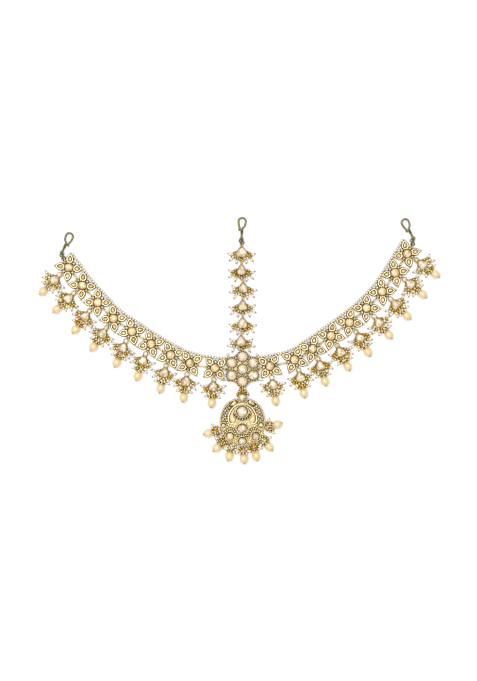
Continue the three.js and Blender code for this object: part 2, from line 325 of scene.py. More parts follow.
def skin(
    rings: np.ndarray,
    shade: np.ndarray,
    ends: Sequence[Sequence[float]],
    end_shade: Sequence[float],
    reverse: bool = False,
) -> Shape:
    """A closed body from rings of corners.

    Args:
        rings: The rings one after another, each with the same number of corners.
        shade: The shade of every corner of every ring.
        ends: The middle of the first ring and of the last, where a fan of triangles closes each.
        end_shade: The shade of each middle.
        reverse: Whether the rings run clockwise as seen from the last one.

    Returns:
        The body.
    """
    stations, count = shade.shape
    here = np.arange(count)
    after = (here + 1) % count
    band = np.stack([here, after, after + count, here + count], 1)
    quads = np.concatenate([band + i * count for i in range(stations - 1)])
    first, last = stations * count, (stations - 1) * count
    fans = [
        np.stack([np.full(count, first), after, here], 1),
        np.stack([np.full(count, first + 1), here + last, after + last], 1),
    ]
    tris = np.concatenate(fans)
    if reverse:
        quads, tris = quads[:, [0, 3, 2, 1]], tris[:, [0, 2, 1]]
    corners = np.concatenate([rings.reshape(-1, 3), np.array(ends, float)])
    return Shape(corners, quads, tris, np.append(shade.ravel(), end_shade), np.full(len(corners), 0.5))


def raised(outline: Outline, section: Sequence[Step], crown: float | None = None) -> Shape:
    """A closed body on an outline.

    Args:
        outline: The outline that the body stands on.
        section: Its steps from the foot of its wall inwards over its top.
        crown: The height of the middle of its top, or the last step's.

    Returns:
        The body, closed above and below.
    """
    insets, heights, shades = zip(*section)
    flat = [outline.ring(inset) for inset in insets]
    rings = np.stack([np.column_stack([ring, np.full(len(ring), z)]) for ring, z in zip(flat, heights)])
    shade = np.repeat(np.array(shades, float)[:, None], len(flat[0]), 1)
    top, top_shade = (heights[-1], shades[-1]) if crown is None else (crown, 0.0)
    ends = [[*flat[0].mean(0), heights[0]], [*flat[-1].mean(0), top]]
    return skin(rings, shade, ends, [shades[0], top_shade])


def dome(outline: Outline, half: float, base: float, top: float, steps: int) -> Shape:
    """A cabochon on an outline.

    Args:
        outline: The outline of its girdle.
        half: Half of the outline's narrowest width.
        base: The height of its foot.
        top: The height of its middle.
        steps: How many rings climb to its middle.

    Returns:
        The stone, closed below.
    """
    girdle = base + (top - base) * 0.25
    section = [(0.0, base, 1.0), (0.0, girdle, 1.0)]
    for i in range(1, steps):
        angle = math.pi / 2 * i / steps
        inset = half * 0.94 * (1 - math.cos(angle))
        # the shade falls from the girdle to the middle: painted shade at the stone's edge
        section.append((inset, girdle + (top - girdle) * math.sin(angle), 1 - i / steps))
    return raised(outline, section, top)


def leaf_stone(leaf: Leaf, inset: float, base: float, top: float, steps: int) -> Shape:
    """A leaf-shaped cabochon, inside its setting's outline by inset, with a dome's heights and steps."""
    inner = leaf.within(inset)
    return dome(inner, inner.half * 0.85, base, top, steps)


def bezel(
    rim: float,
    seat: float,
    width: float,
    foot: float = 0.0,
    ledge: float = 0.0,
    groove: float = 0.02,
    fall: float = 0.09,
) -> list[Step]:
    """The section of a collar of metal that holds a stone.

    Args:
        rim: The height of its bright top edge.
        seat: The height that its stone sits on.
        width: The width of the collar.
        foot: The height that it starts from.
        ledge: The width of a dark ledge outside it.
        groove: The width of the dark groove between the collar and its stone.
        fall: How far the collar's rounded top falls away to each side.

    Returns:
        Steps from the foot inwards.
    """
    steps: list[Step] = [(0.0, foot, 1.0)]
    if ledge:
        steps += [(0.0, seat - 0.35, 1.0), (0.08, seat - 0.22, 1.0), (ledge, seat - 0.2, 1.0)]
    return steps + [
        (ledge + 0.03, rim - 0.35, 0.75),
        (ledge + 0.2 * width, rim - fall, 0.1),
        (ledge + 0.5 * width, rim, 0.0),
        (ledge + 0.8 * width, rim - fall, 0.05),
        (ledge + width, seat + 0.1, 0.8),
        (ledge + width + 0.02, seat, 1.0),
        (ledge + width + groove, seat - 0.02, 1.0),
    ]


def ribbon(line: np.ndarray, halves: np.ndarray, section: Sequence[Step]) -> Shape:
    """A closed strip along a line on the table.

    Args:
        line: Its middle line.
        halves: Half of its width at each point of the line.
        section: Steps from the foot of its wall to its middle, with insets as shares of the half width.

    Returns:
        The strip, closed at both ends.
    """
    left = leftward(np.gradient(line, axis=0))
    one_side = [(1 - inset, z, shade) for inset, z, shade in section]
    across = [(-offset, z, shade) for offset, z, shade in one_side] + one_side[::-1]
    offset, z, shade = np.array(across, float).T
    flat = line[:, None] + left[:, None] * offset[:, None] * halves[:, None, None]
    rings = np.concatenate([flat, np.broadcast_to(z, flat.shape[:2])[..., None]], 2)
    ends = [rings[0].mean(0), rings[-1].mean(0)]
    return skin(rings, np.tile(shade, (len(line), 1)), ends, [1.0, 1.0], reverse=True)


def orb(radius: float, z: float, long: float, sides: int) -> Shape:
    """A pearl at the origin, drilled along Y, with a dimple at each end of the hole.

    Args:
        radius: Its radius across the hole.
        z: The height of its middle, and its radius up and down.
        long: Its length over its width.
        sides: Faces round it.

    Returns:
        The pearl.
    """
    rows = sides // 2 + 1
    lean = np.linspace(0.0, math.pi, rows + 2)[1:-1, None]
    turn = np.arange(sides) * 2 * math.pi / sides
    x = np.sin(lean) * radius * np.cos(turn)
    y = np.repeat(np.cos(lean) * radius * long, sides, 1)
    height = np.sin(lean) * z * np.sin(turn) + z
    # painted shade, darker towards each drilled end
    shade = np.repeat(np.abs(np.cos(lean)) ** 5, sides, 1)
    dimple = radius * long * 0.97
    return skin(np.stack([x, y, height], 2), shade, [(0, dimple, z), (0, -dimple, z)], [1.0, 1.0])


# ---- skeletons for geometry nodes


@dataclass
class Skeleton(Cornered):
    """Points or lines that geometry nodes give a body, with a radius and a tone at each point."""

    edges: np.ndarray = field(default_factory=lambda: np.zeros((0, 2), int))
    radius: np.ndarray = field(default_factory=lambda: np.zeros(0))
    tone: np.ndarray = field(default_factory=lambda: np.zeros(0))

    @staticmethod
    def dots(points: Iterable[Sequence[float]], radius: float, tone: float = 0.5) -> Skeleton:
        """Loose points of one radius."""
        return replace(Skeleton.line(points, radius, tone), edges=np.zeros((0, 2), int))

    @staticmethod
    def line(
        points: Iterable[Sequence[float]], radius: float, tone: float = 0.5, closed: bool = False
    ) -> Skeleton:
        """Points joined in order.

        Args:
            points: The points.
            radius: Of the body that they get.
            tone: The tone all over.
            closed: Whether the last is joined to the first.

        Returns:
            The line.
        """
        corners = np.array([list(point) for point in points], float).reshape(-1, 3)
        here = np.arange(len(corners))
        edges = np.stack([here, np.roll(here, -1)], 1)
        edges = edges if closed else edges[:-1]
        return Skeleton(corners, edges, np.full(len(here), radius), np.full(len(here), tone))

    @staticmethod
    def hoop(
        radius: float, wire: float, z: float, stretch: float = 0.0, tilt: float = 0.0, tone: float = 0.6
    ) -> Skeleton:
        """A ring of wire.

        Args:
            radius: Of the wire's middle line.
            wire: Radius of the wire.
            z: Height of its middle.
            stretch: How far its two ends are moved apart along X, each.
            tilt: How far it leans out of level about X.
            tone: The tone all over.

        Returns:
            A closed line.
        """
        sides = 18
        turn = np.arange(sides) * 2 * math.pi / sides
        x = radius * np.cos(turn) + stretch * np.sign(np.round(np.cos(turn), 3))
        y = radius * np.sin(turn)
        lean = math.radians(tilt)
        points = np.stack([x, y * math.cos(lean), y * math.sin(lean) + z], 1)
        return Skeleton.line(points, wire, tone, closed=True)

    def __add__(self, other: Skeleton) -> Skeleton:
        """Both as one."""
        return Skeleton.joined([self, other])

    def where(self, wanted: np.ndarray) -> Skeleton:
        """Those of its loose points that are wanted."""
        return replace(self, points=self.points[wanted], radius=self.radius[wanted], tone=self.tone[wanted])


def circle_of_dots(radius: float, count: int, z: float, size: float) -> Skeleton:
    """Points evenly round a circle, of the palest tone."""
    return Skeleton.dots([(radius, 0, z)], size, 0.0).around(np.arange(count) * 360 / count)


def standing_beads(spots: Sequence[tuple[float, float, float]], radius: float = 0.8) -> Skeleton:
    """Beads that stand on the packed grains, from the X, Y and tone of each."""
    beads = Skeleton.dots([(x, y, 2.2) for x, y, _ in spots], radius)
    return replace(beads, tone=np.array([tone for _, _, tone in spots]))


@dataclass
class Field:
    """Ground that grains may fill: discs that they keep clear of, and the outline that they stay inside."""

    outline: np.ndarray
    discs: np.ndarray

    GRID = 0.2
    EDGE_POINTS = 320
    WALL = 0.03
    CLOSENESS = 0.96
    SUNK = 0.35
    FAR = 99.0

    def inside(self, points: np.ndarray) -> np.ndarray:
        """Finds the points inside the outline, by the edges crossed on the way out.

        Args:
            points: The points.

        Returns:
            Whether each is inside.
        """
        start, end = self.outline, np.roll(self.outline, -1, 0)
        x, y = points[:, :1], points[:, 1:2]
        spans = (start[:, 1] > y) != (end[:, 1] > y)
        rise = np.where(end[:, 1] == start[:, 1], 1e-9, end[:, 1] - start[:, 1])
        crossing = (end[:, 0] - start[:, 0]) * (y - start[:, 1]) / rise + start[:, 0]
        return (spans & (x < crossing)).sum(1) % 2 == 1

    def packed(
        self,
        sizes: Sequence[float],
        z: float,
        tones: tuple[float, float],
        chance: random.Random,
        gilded: float = 0.0,
    ) -> Skeleton:
        """Grains packed against the edges of the ground and against each other, the largest first.

        Args:
            sizes: The radii, from the largest.
            z: The height of the ground that they are sunk in.
            tones: The range of their tones.
            chance: What their tones are drawn from.
            gilded: The share of them that are deep yellow instead.

        Returns:
            Loose points.
        """
        low, high = self.outline.min(0), self.outline.max(0)
        across, up = np.meshgrid(*(np.arange(low[axis], high[axis], self.GRID) for axis in (0, 1)))
        spots = np.stack([across.ravel(), up.ravel()], 1)
        spots = spots[self.inside(spots)]
        edge = evenly(self.outline, self.EDGE_POINTS)
        walls = np.concatenate([self.discs, np.column_stack([edge, np.full(len(edge), self.WALL)])])
        wall, near, next_near = (np.full(len(spots), self.FAR) for _ in range(3))
        for x, y, radius in walls:
            wall = np.minimum(wall, np.hypot(spots[:, 0] - x, spots[:, 1] - y) - radius)
        found = []
        for size in sizes:
            while True:
                touch = wall + near + next_near - np.maximum(np.maximum(wall, near), next_near)
                fits = np.minimum(wall, near) >= size * self.CLOSENESS
                if not fits.any():
                    break
                best = int(np.where(fits, touch, np.inf).argmin())
                x, y = spots[best]
                found.append((x, y, size))
                gap = np.hypot(spots[:, 0] - x, spots[:, 1] - y) - size
                next_near = np.minimum(next_near, np.maximum(near, gap))
                near = np.minimum(near, gap)
        kept = Skeleton.dots([(x, y, z + self.SUNK * size) for x, y, size in found], 1.0)
        kept.radius = np.array([size for _, _, size in found])
        tone = [DEEP_YELLOW if chance.random() < gilded else chance.uniform(*tones) for _ in found]
        return replace(kept, tone=np.array(tone))


@dataclass(frozen=True)
class Filling:
    """Grains and seed pearls packed on a plate that painted shade darkens, whose outline is the same on both
    sides of Y.
    """

    half_outline: tuple[tuple[float, float], ...]
    sizes: tuple[float, ...] = (1.05, 0.86, 0.66, 0.48)
    base: float = 0.95
    overhang: float = 0.5
    pearly: float = 0.3
    pearly_from: float = 0.6

    def outline(self, chance: random.Random) -> np.ndarray:
        """The whole outline, with each side a little fuller or leaner.

        Args:
            chance: What the sides are drawn from.

        Returns:
            Its points, anticlockwise.
        """
        half = flowing(self.half_outline, 5)
        left, right = (half * [chance.uniform(0.9, 1.08), 1.0] for _ in range(2))
        return evenly(np.concatenate([left[:-1] * [-1, 1], right[:0:-1]]), 60)

    def shapes(
        self, bench: Workbench, chance: random.Random, clear: Sequence[Disc]
    ) -> tuple[Shape, Shape]:
        """The plate with its grains, and the seed pearls among them.

        Args:
            bench: The workbench.
            chance: What its shape and tones are drawn from.
            clear: Discs that stay clear of grains.

        Returns:
            The metal and the seed pearls.
        """
        outline = Contour(self.outline(chance))
        # the plate is dark with painted shade, which shows between the grains
        plate = raised(outline, [(0, 0.25, 1), (0, self.base - 0.1, 0.9), (0.15, self.base, 0.75)]).toned(0.9)
        ground = Field(outline.ring(-self.overhang), np.array(clear))
        grains = ground.packed(self.sizes, self.base, (0.0, 0.6), chance, 0.5)
        large = grains.radius > self.pearly_from
        pearly = np.array([is_large and chance.random() < self.pearly for is_large in large])
        metal = bench.granules(grains.where(~pearly), Flatness=0.85, Stain=0.3)
        return Shape.joined([plate, metal]), bench.seed_pearls(grains.where(pearly))


# ---- node trees


def maths(operation: str, swapped: bool = False) -> Callable[[Term, Feed], Term]:
    """Makes a method that adds a Math node.

    Args:
        operation: What the node does.
        swapped: Whether the term comes second.

    Returns:
        The method.
    """

    def method(self: Term, other: Feed) -> Term:
        """The node's result on both values."""
        first, second = (other, self) if swapped else (self, other)
        return self.graph.term("ShaderNodeMath", {"operation": operation}, {0: first, 1: second})

    return method


class Term:
    """A number that a node gives. Python's operators on it add Math nodes."""

    def __init__(self, graph: Graph, socket: bpy.types.NodeSocket) -> None:
        """Holds a socket of a graph."""
        self.graph = graph
        self.socket = socket

    __add__ = __radd__ = maths("ADD")
    __sub__, __rsub__ = maths("SUBTRACT"), maths("SUBTRACT", swapped=True)
    __mul__ = __rmul__ = maths("MULTIPLY")
    __truediv__, __rtruediv__ = maths("DIVIDE"), maths("DIVIDE", swapped=True)
    __pow__, __rpow__ = maths("POWER"), maths("POWER", swapped=True)

    def clamped(self) -> Term:
        """The term, kept between 0 and 1."""
        settings = {"operation": "ADD", "use_clamp": True}
        return self.graph.term("ShaderNodeMath", settings, {0: self, 1: 0.0})


Feed = Term | bpy.types.NodeSocket | float | int | bool | str | Sequence[float] | bpy.types.ID
Settings = Mapping[str, object] | None
Sockets = Mapping[str | int, Feed] | None


class Graph:
    """A node tree that is filled one node at a time."""

    def __init__(self, tree: bpy.types.NodeTree) -> None:
        """Fills the tree given."""
        self.tree = tree

    def node(self, kind: str, settings: Settings = None, sockets: Sockets = None) -> bpy.types.Node:
        """Adds a node.

        Args:
            kind: The node's type.
            settings: Its properties, set before its sockets.
            sockets: Values or links for its inputs, by name, identifier or number.

        Returns:
            The node.
        """
        node = self.tree.nodes.new(kind)
        for name, value in (settings or {}).items():
            setattr(node, name, value)
        for key, value in (sockets or {}).items():
            socket = self._find(node.inputs, key)
            given = value.socket if isinstance(value, Term) else value
            if isinstance(given, bpy.types.NodeSocket):
                self.tree.links.new(given, socket)
            else:
                socket.default_value = given
        return node

    @staticmethod
    def _find(sockets: Sequence[bpy.types.NodeSocket], key: str | int) -> bpy.types.NodeSocket:
        """A socket by number, identifier or name."""
        if isinstance(key, int):
            return sockets[key]
        return next(s for s in sockets if s.identifier == key or (s.name == key and s.enabled))

    def term(
        self, kind: str, settings: Settings = None, sockets: Sockets = None, output: str | int = 0
    ) -> Term:
        """Adds a node as node() does and gives one of its outputs."""
        return Term(self, self._find(self.node(kind, settings, sockets).outputs, output))

    def attribute(self, name: str) -> Term:
        """A number kept at each corner of the mesh."""
        return self.term("ShaderNodeAttribute", {"attribute_name": name}, output="Fac")

    def blend(self, first: Feed, second: Feed, share: Feed) -> Term:
        """A colour between two others."""
        sockets = {"Factor_Float": share, "A_Color": first, "B_Color": second}
        return self.term("ShaderNodeMix", {"data_type": "RGBA"}, sockets, "Result_Color")

    def noise(self, size: float, detail: float = 2.0, stretch: Sequence[float] = (1, 1, 1)) -> Term:
        """Soft random variation over the piece.

        Args:
            size: How large its patches are, in millimetres.
            detail: How many finer layers it has.
            stretch: Scale along each axis.

        Returns:
            A value near a half, from 0 to 1.
        """
        place = self.term("ShaderNodeTexCoord", output="Object")
        mapped = self.term("ShaderNodeMapping", {}, {"Vector": place, "Scale": tuple(stretch)})
        sockets = {"Vector": mapped, "Scale": 1 / (size * METRES), "Detail": detail}
        return self.term("ShaderNodeTexNoise", {}, sockets)

    def facets(self, size: float) -> Term:
        """A random value from 0 to 1 for each cell of a pattern, with the cells' size in millimetres."""
        place = self.term("ShaderNodeTexCoord", output="Object")
        sockets = {"Vector": place, "Scale": 1 / (size * METRES)}
        return self.term("ShaderNodeTexVoronoi", {"feature": "F1"}, sockets, "Color")

    def bump(self, height: Feed, depth: float, strength: float) -> Term:
        """A surface normal from a height, with depth in millimetres."""
        sockets = {"Height": height, "Distance": depth * METRES, "Strength": strength}
        return self.term("ShaderNodeBump", {}, sockets, "Normal")


def linear(code: str) -> tuple[float, float, float, float]:
    """A screen colour as linear light.

    Args:
        code: Its red, green and blue in hexadecimal, such as c2a468.

    Returns:
        Red, green, blue and full opacity.
    """
    parts = [int(code[i : i + 2], 16) / 255 for i in (0, 2, 4)]
    red, green, blue = (c / 12.92 if c <= 0.04045 else ((c + 0.055) / 1.055) ** 2.4 for c in parts)
    return red, green, blue, 1.0


# ---- finishes


class Slot(Enum):
    """The record's material slots."""

    GOLD = "antique_gold"
    BRASS = "dark_brass_wire"
    CREAM_PEARL = "cream_pearl"
    WHITE_PEARL = "white_pearl"
    CREAM_STONE = "cream_stone"
    PEACH_STONE = "peach_stone"


@dataclass(frozen=True)
class Finish:
    """What every finish has: its name and the slot that it belongs to."""

    name: str
    slot: Slot | None

    def material(self) -> bpy.types.Material:
        """Builds the finish as a material.

        Returns:
            The material.
        """
        made = bpy.data.materials.new(self.name)
        made.use_nodes = True
        made.node_tree.nodes.clear()
        graph = Graph(made.node_tree)
        shader = graph.node("ShaderNodeBsdfPrincipled", {}, self.surface(graph))
        graph.node("ShaderNodeOutputMaterial", {}, {"Surface": shader.outputs["BSDF"]})
        return made

    def surface(self, graph: Graph) -> dict[str | int, Feed]:
        """Works out how the finish looks.

        Args:
            graph: The material's nodes.

        Returns:
            The shader's sockets and what each is given.
        """
        raise NotImplementedError


@dataclass(frozen=True)
class Metal(Finish):
    """Cast or drawn metal, bright on its heights and dark in its recesses and lower flanks with patina and
    painted shade.
    """

    pale: str
    warm: str
    olive: str
    patina: str
    polish: float
    grain: float

    def surface(self, graph: Graph) -> dict[str | int, Feed]:
        """Gives the shader's sockets.

        Args:
            graph: The material's nodes.

        Returns:
            What each is given.
        """
        cloud = graph.noise(2.2, 3.0)
        grain = graph.noise(self.grain, 3.0)
        drift = (graph.noise(16.0, 2.0) * 4 - 1.5).clamped()
        # patina and painted shade, from the shade number with a little noise
        patina_shade_share = (graph.attribute(SHADE) * 1.1 + (cloud - 0.5) * 0.3 + (grain - 0.5) * 0.2 - 0.03).clamped()
        warm = graph.blend(linear(self.warm), linear(self.olive), drift)
        warmth = (graph.attribute(TONE) ** 1.3 + (cloud - 0.5) * 0.5).clamped()
        bright = graph.blend(linear(self.pale), warm, warmth)
        return {
            "Base Color": graph.blend(bright, linear(self.patina), patina_shade_share),
            "Metallic": 1 - patina_shade_share * 0.3,
            "Roughness": (self.polish + patina_shade_share * 0.35 + (grain - 0.5) * 0.15).clamped(),
            "Normal": graph.bump(grain + cloud * 0.5, 0.06, 0.35),
        }


@dataclass(frozen=True)
class Stone(Finish):
    """A foiled glass cabochon, clearer in its middle and darkened towards its setting by painted shade."""

    pale: str
    deep: str
    blush: str
    edge: str

    def surface(self, graph: Graph) -> dict[str | int, Feed]:
        """Gives the shader's sockets.

        Args:
            graph: The material's nodes.

        Returns:
            What each is given.
        """
        # the shade number is painted shade, deepest at the stone's girdle
        edge = graph.attribute(SHADE)
        cloud = graph.noise(1.3, 3.0)
        streak = graph.noise(0.5, 2.0, (1.0, 2.6, 1.0))
        facet = graph.facets(1.7)
        # facets and clouds are the foil's own mottling; the edge term adds painted shade
        depth = ((facet - 0.5) * 1.7 + (cloud - 0.5) * 2.8 + 0.38 + edge * 0.4).clamped()
        flush = (graph.attribute(TONE) * 0.8 - 0.2 + (streak - 0.5) * 2.0).clamped()
        body = graph.blend(linear(self.pale), linear(self.deep), depth)
        body = graph.blend(body, linear(self.blush), flush)
        return {
            # the edge colour is painted shade towards the girdle
            "Base Color": graph.blend(body, linear(self.edge), (edge**4.0 * 0.9).clamped()),
            "Roughness": (0.12 + cloud * 0.16).clamped(),
            "Coat Weight": 0.6,
            "Coat Roughness": 0.05,
            "Normal": graph.bump(cloud + streak * 0.6 + facet * 0.8, 0.12, 0.3),
        }


@dataclass(frozen=True)
class Nacre(Finish):
    """The skin of a pearl, darkened by painted shade where its shade number is high."""

    body: str
    glow: str
    depth: str

    def surface(self, graph: Graph) -> dict[str | int, Feed]:
        """Gives the shader's sockets.

        Args:
            graph: The material's nodes.

        Returns:
            What each is given.
        """
        cloud = graph.noise(2.6, 2.0)
        fine = graph.noise(0.45, 2.0)
        tone = graph.attribute(TONE)
        skin = graph.blend(linear(self.body), linear(self.glow), (cloud * 1.2 + tone * 0.8 - 0.6).clamped())
        return {
            # the depth colour is painted shade, mixed in by the shade number
            "Base Color": graph.blend(skin, linear(self.depth), (graph.attribute(SHADE) * 0.8).clamped()),
            "Roughness": (0.2 + fine * 0.14).clamped(),
            "Coat Weight": 0.8,
            "Coat Roughness": 0.08,
            "Normal": graph.bump(fine, 0.03, 0.2),
        }


@dataclass(frozen=True)
class Paper(Finish):
    """The pale sheet that the ornament lies on."""

    light: str
    fibre: str

    def surface(self, graph: Graph) -> dict[str | int, Feed]:
        """Gives the shader's sockets.

        Args:
            graph: The material's nodes.

        Returns:
            What each is given.
        """
        fibres = graph.noise(1.5, 4.0)
        return {
            "Base Color": graph.blend(linear(self.light), linear(self.fibre), fibres),
            "Roughness": (0.85 + fibres * 0.1).clamped(),
            "Normal": graph.bump(fibres, 0.02, 0.1),
        }


# each metal's fourth colour is its patina mixed with painted shade
GOLD = Metal("antique_gold", Slot.GOLD, "f6e7b4", "edb74a", "dcc24c", "4a3306", 0.3, 0.35)
BRASS = Metal("dark_brass_wire", Slot.BRASS, "8d8156", "6f6020", "6a6326", "2c2406", 0.36, 0.5)
CREAM_STONE = Stone("cream_stone", Slot.CREAM_STONE, "f6ecd6", "b2965f", "e8c2a2", "6a4e22")
PEACH_STONE = Stone("peach_stone", Slot.PEACH_STONE, "f5e4ba", "bb9550", "f3cb9a", "6a4a1c")
# each pearl's last colour is its painted shade
CREAM_PEARL = Nacre("cream_pearl", Slot.CREAM_PEARL, "efd79c", "f2d4b0", "8f6424")
WHITE_PEARL = Nacre("white_pearl", Slot.WHITE_PEARL, "f6f0e0", "f4e4cf", "83733f")
TABLE = Paper("table_paper", None, "ffffff", "fbfbfa")


# ---- geometry node trees


def in_scene(name: str, data: bpy.types.ID) -> bpy.types.Object:
    """A new object in the scene."""
    made = bpy.data.objects.new(name, data)
    bpy.context.scene.collection.objects.link(made)
    return made


def keep(mesh: bpy.types.Mesh, numbers: Mapping[str, np.ndarray]) -> None:
    """Keeps a number at each corner of a mesh, by name."""
    for name, values in numbers.items():
        mesh.attributes.new(name, "FLOAT", "POINT").data.foreach_set("value", values.astype(np.float32))


class Growth:
    """A geometry node tree that gives the points or lines of a skeleton a body."""

    LIT = 0.88  # how far up a point faces where its shade starts
    SPAN = 0.62  # how much further down it faces where its shade is full
    NAME: str
    BALLS = {"Segments": 8, "Rings": 5, "Flatness": 1.0, "Stain": 1.0}
    INPUTS: Mapping[str, float | int] = BALLS

    def __init__(self) -> None:
        """Builds the tree with its inputs, each at its first value."""
        tree = bpy.data.node_groups.new(self.NAME, "GeometryNodeTree")
        self.graph = Graph(tree)
        self.keys: dict[str, str] = {}
        tree.interface.new_socket("Skeleton", in_out="INPUT", socket_type="NodeSocketGeometry")
        for title, value in self.INPUTS.items():
            kind = "NodeSocketInt" if isinstance(value, int) else "NodeSocketFloat"
            socket = tree.interface.new_socket(title, in_out="INPUT", socket_type=kind)
            socket.default_value = value
            self.keys[title] = socket.identifier
        finish = tree.interface.new_socket("Finish", in_out="INPUT", socket_type="NodeSocketMaterial")
        self.keys["Finish"] = finish.identifier
        tree.interface.new_socket("Body", in_out="OUTPUT", socket_type="NodeSocketGeometry")
        self.given = self.graph.node("NodeGroupInput")
        self.finish(self.body())

    def body(self) -> Term:
        """Adds the nodes that make the body and gives its geometry."""
        raise NotImplementedError

    def value(self, title: str) -> Term:
        """One of the tree's inputs."""
        return Term(self.graph, self.given.outputs[title])

    def named(self, attribute: str) -> Term:
        """A number kept at each point of the skeleton."""
        settings, sockets = {"data_type": "FLOAT"}, {"Name": attribute}
        return self.graph.term("GeometryNodeInputNamedAttribute", settings, sockets, "Attribute")

    def random(self, low: float, high: float, seed: Feed) -> Term:
        """A random number for each point."""
        sockets = {"Min_001": low, "Max_001": high, "Seed": seed}
        return self.graph.term("FunctionNodeRandomValue", {"data_type": "FLOAT"}, sockets, "Value_001")

    def stored(self, geometry: Term, name: str, value: Feed) -> Term:
        """The geometry with a number kept at each of its points."""
        settings = {"data_type": "FLOAT", "domain": "POINT"}
        sockets = {"Geometry": geometry, "Name": name, "Value": value}
        return self.graph.term("GeometryNodeStoreNamedAttribute", settings, sockets)

    def curve(self) -> Term:
        """The skeleton's lines as curves."""
        return self.graph.term("GeometryNodeMeshToCurve", {}, {"Mesh": self.value("Skeleton")})

    def beads(self, points: Term, size: Feed) -> Term:
        """Sets a ball on each point.

        Args:
            points: The points.
            size: The radius of each ball.

        Returns:
            The balls.
        """
        sockets = {"Segments": self.value("Segments"), "Rings": self.value("Rings"), "Radius": 1.0}
        ball = self.graph.term("GeometryNodeMeshUVSphere", {}, sockets, "Mesh")
        flat = self.graph.term("ShaderNodeCombineXYZ", {}, {"X": 1.0, "Y": 1.0, "Z": self.value("Flatness")})
        sockets = {"Vector": flat, "Scale": size}
        scale = self.graph.term("ShaderNodeVectorMath", {"operation": "SCALE"}, sockets)
        sockets = {"Points": points, "Instance": ball, "Scale": scale}
        return self.graph.term("GeometryNodeInstanceOnPoints", {}, sockets)

    def finish(self, geometry: Term) -> None:
        """Makes copies real, shades each point by how far it faces away from above, and sets the finish.

        Args:
            geometry: The body.
        """
        real = self.graph.term("GeometryNodeRealizeInstances", {}, {"Geometry": geometry})
        normal = self.graph.term("GeometryNodeInputNormal", output="Normal")
        height = self.graph.term("ShaderNodeSeparateXYZ", {}, {"Vector": normal}, "Z")
        # painted shade on the flanks that face away from above, which on metal also stands for patina
        lean = ((self.LIT - height) / self.SPAN).clamped()
        shaded = self.stored(real, SHADE, lean * self.value("Stain"))
        smooth = self.graph.term("GeometryNodeSetShadeSmooth", {}, {"Geometry": shaded})
        sockets = {"Geometry": smooth, "Material": self.value("Finish")}
        done = self.graph.term("GeometryNodeSetMaterial", {}, sockets)
        self.graph.node("NodeGroupOutput", {}, {"Body": done})

    def grown(self, skeleton: Skeleton, finish: bpy.types.Material, **values: float) -> Shape:
        """Runs the tree on a skeleton.

        Args:
            skeleton: The points or lines.
            finish: The material to set.
            values: The tree's inputs, by title.

        Returns:
            The body as a shape.
        """
        mesh = bpy.data.meshes.new(self.NAME)
        mesh.from_pydata(skeleton.points.tolist(), skeleton.edges.tolist(), [])
        keep(mesh, {"radius": skeleton.radius, TONE: skeleton.tone})
        holder = in_scene(self.NAME, mesh)
        modifier = holder.modifiers.new(self.NAME, "NODES")
        modifier.node_group = self.graph.tree
        modifier[self.keys["Finish"]] = finish
        for title, value in values.items():
            modifier[self.keys[title]] = value
        depsgraph = bpy.context.evaluated_depsgraph_get()
        result = bpy.data.meshes.new_from_object(
            holder.evaluated_get(depsgraph), preserve_all_data_layers=True, depsgraph=depsgraph
        )
        holder.modifiers.remove(modifier)
        shape = shape_of(result)
        bpy.data.objects.remove(holder)
        bpy.data.meshes.remove(mesh)
        bpy.data.meshes.remove(result)
        return shape


class Granules(Growth):
    """A ball on every point, as large as the point's radius."""

    NAME = "granules"

    def body(self) -> Term:
        """A ball on each point."""
        return self.beads(self.value("Skeleton"), self.named("radius"))


class BeadRow(Growth):
    """Balls strung along a line at an even spacing, with small differences in size and tone."""

    NAME = "bead_row"
    INPUTS = Growth.BALLS | {"Spacing": 1.0, "Bead": 0.5, "Unevenness": 0.08, "Seed": 3}

    def body(self) -> Term:
        """A ball at each step along the line.

        Returns:
            The balls.
        """
        sockets = {"Curve": self.curve(), "Length": self.value("Spacing")}
        stops = self.graph.term("GeometryNodeResampleCurve", {"mode": "LENGTH"}, sockets)
        toned = self.stored(stops, TONE, self.random(0.0, 1.0, self.value("Seed")))
        change = self.random(-1.0, 1.0, self.value("Seed") + 1)
        return self.beads(toned, self.value("Bead") * (1 + change * self.value("Unevenness")))


class Wire(Growth):
    """Round wire along every line, as thick as each point's radius says."""

    NAME = "wire"
    INPUTS = {"Sides": 8, "Stain": 1.0}

    def body(self) -> Term:
        """A round section swept along the lines.

        Returns:
            The wire.
        """
        sockets = {"Resolution": self.value("Sides"), "Radius": 1.0}
        section = self.graph.term("GeometryNodeCurvePrimitiveCircle", {"mode": "RADIUS"}, sockets, "Curve")
        sockets = {"Curve": self.curve(), "Profile Curve": section, "Scale": self.named("radius")}
        return self.graph.term("GeometryNodeCurveToMesh", {}, sockets | {"Fill Caps": True})


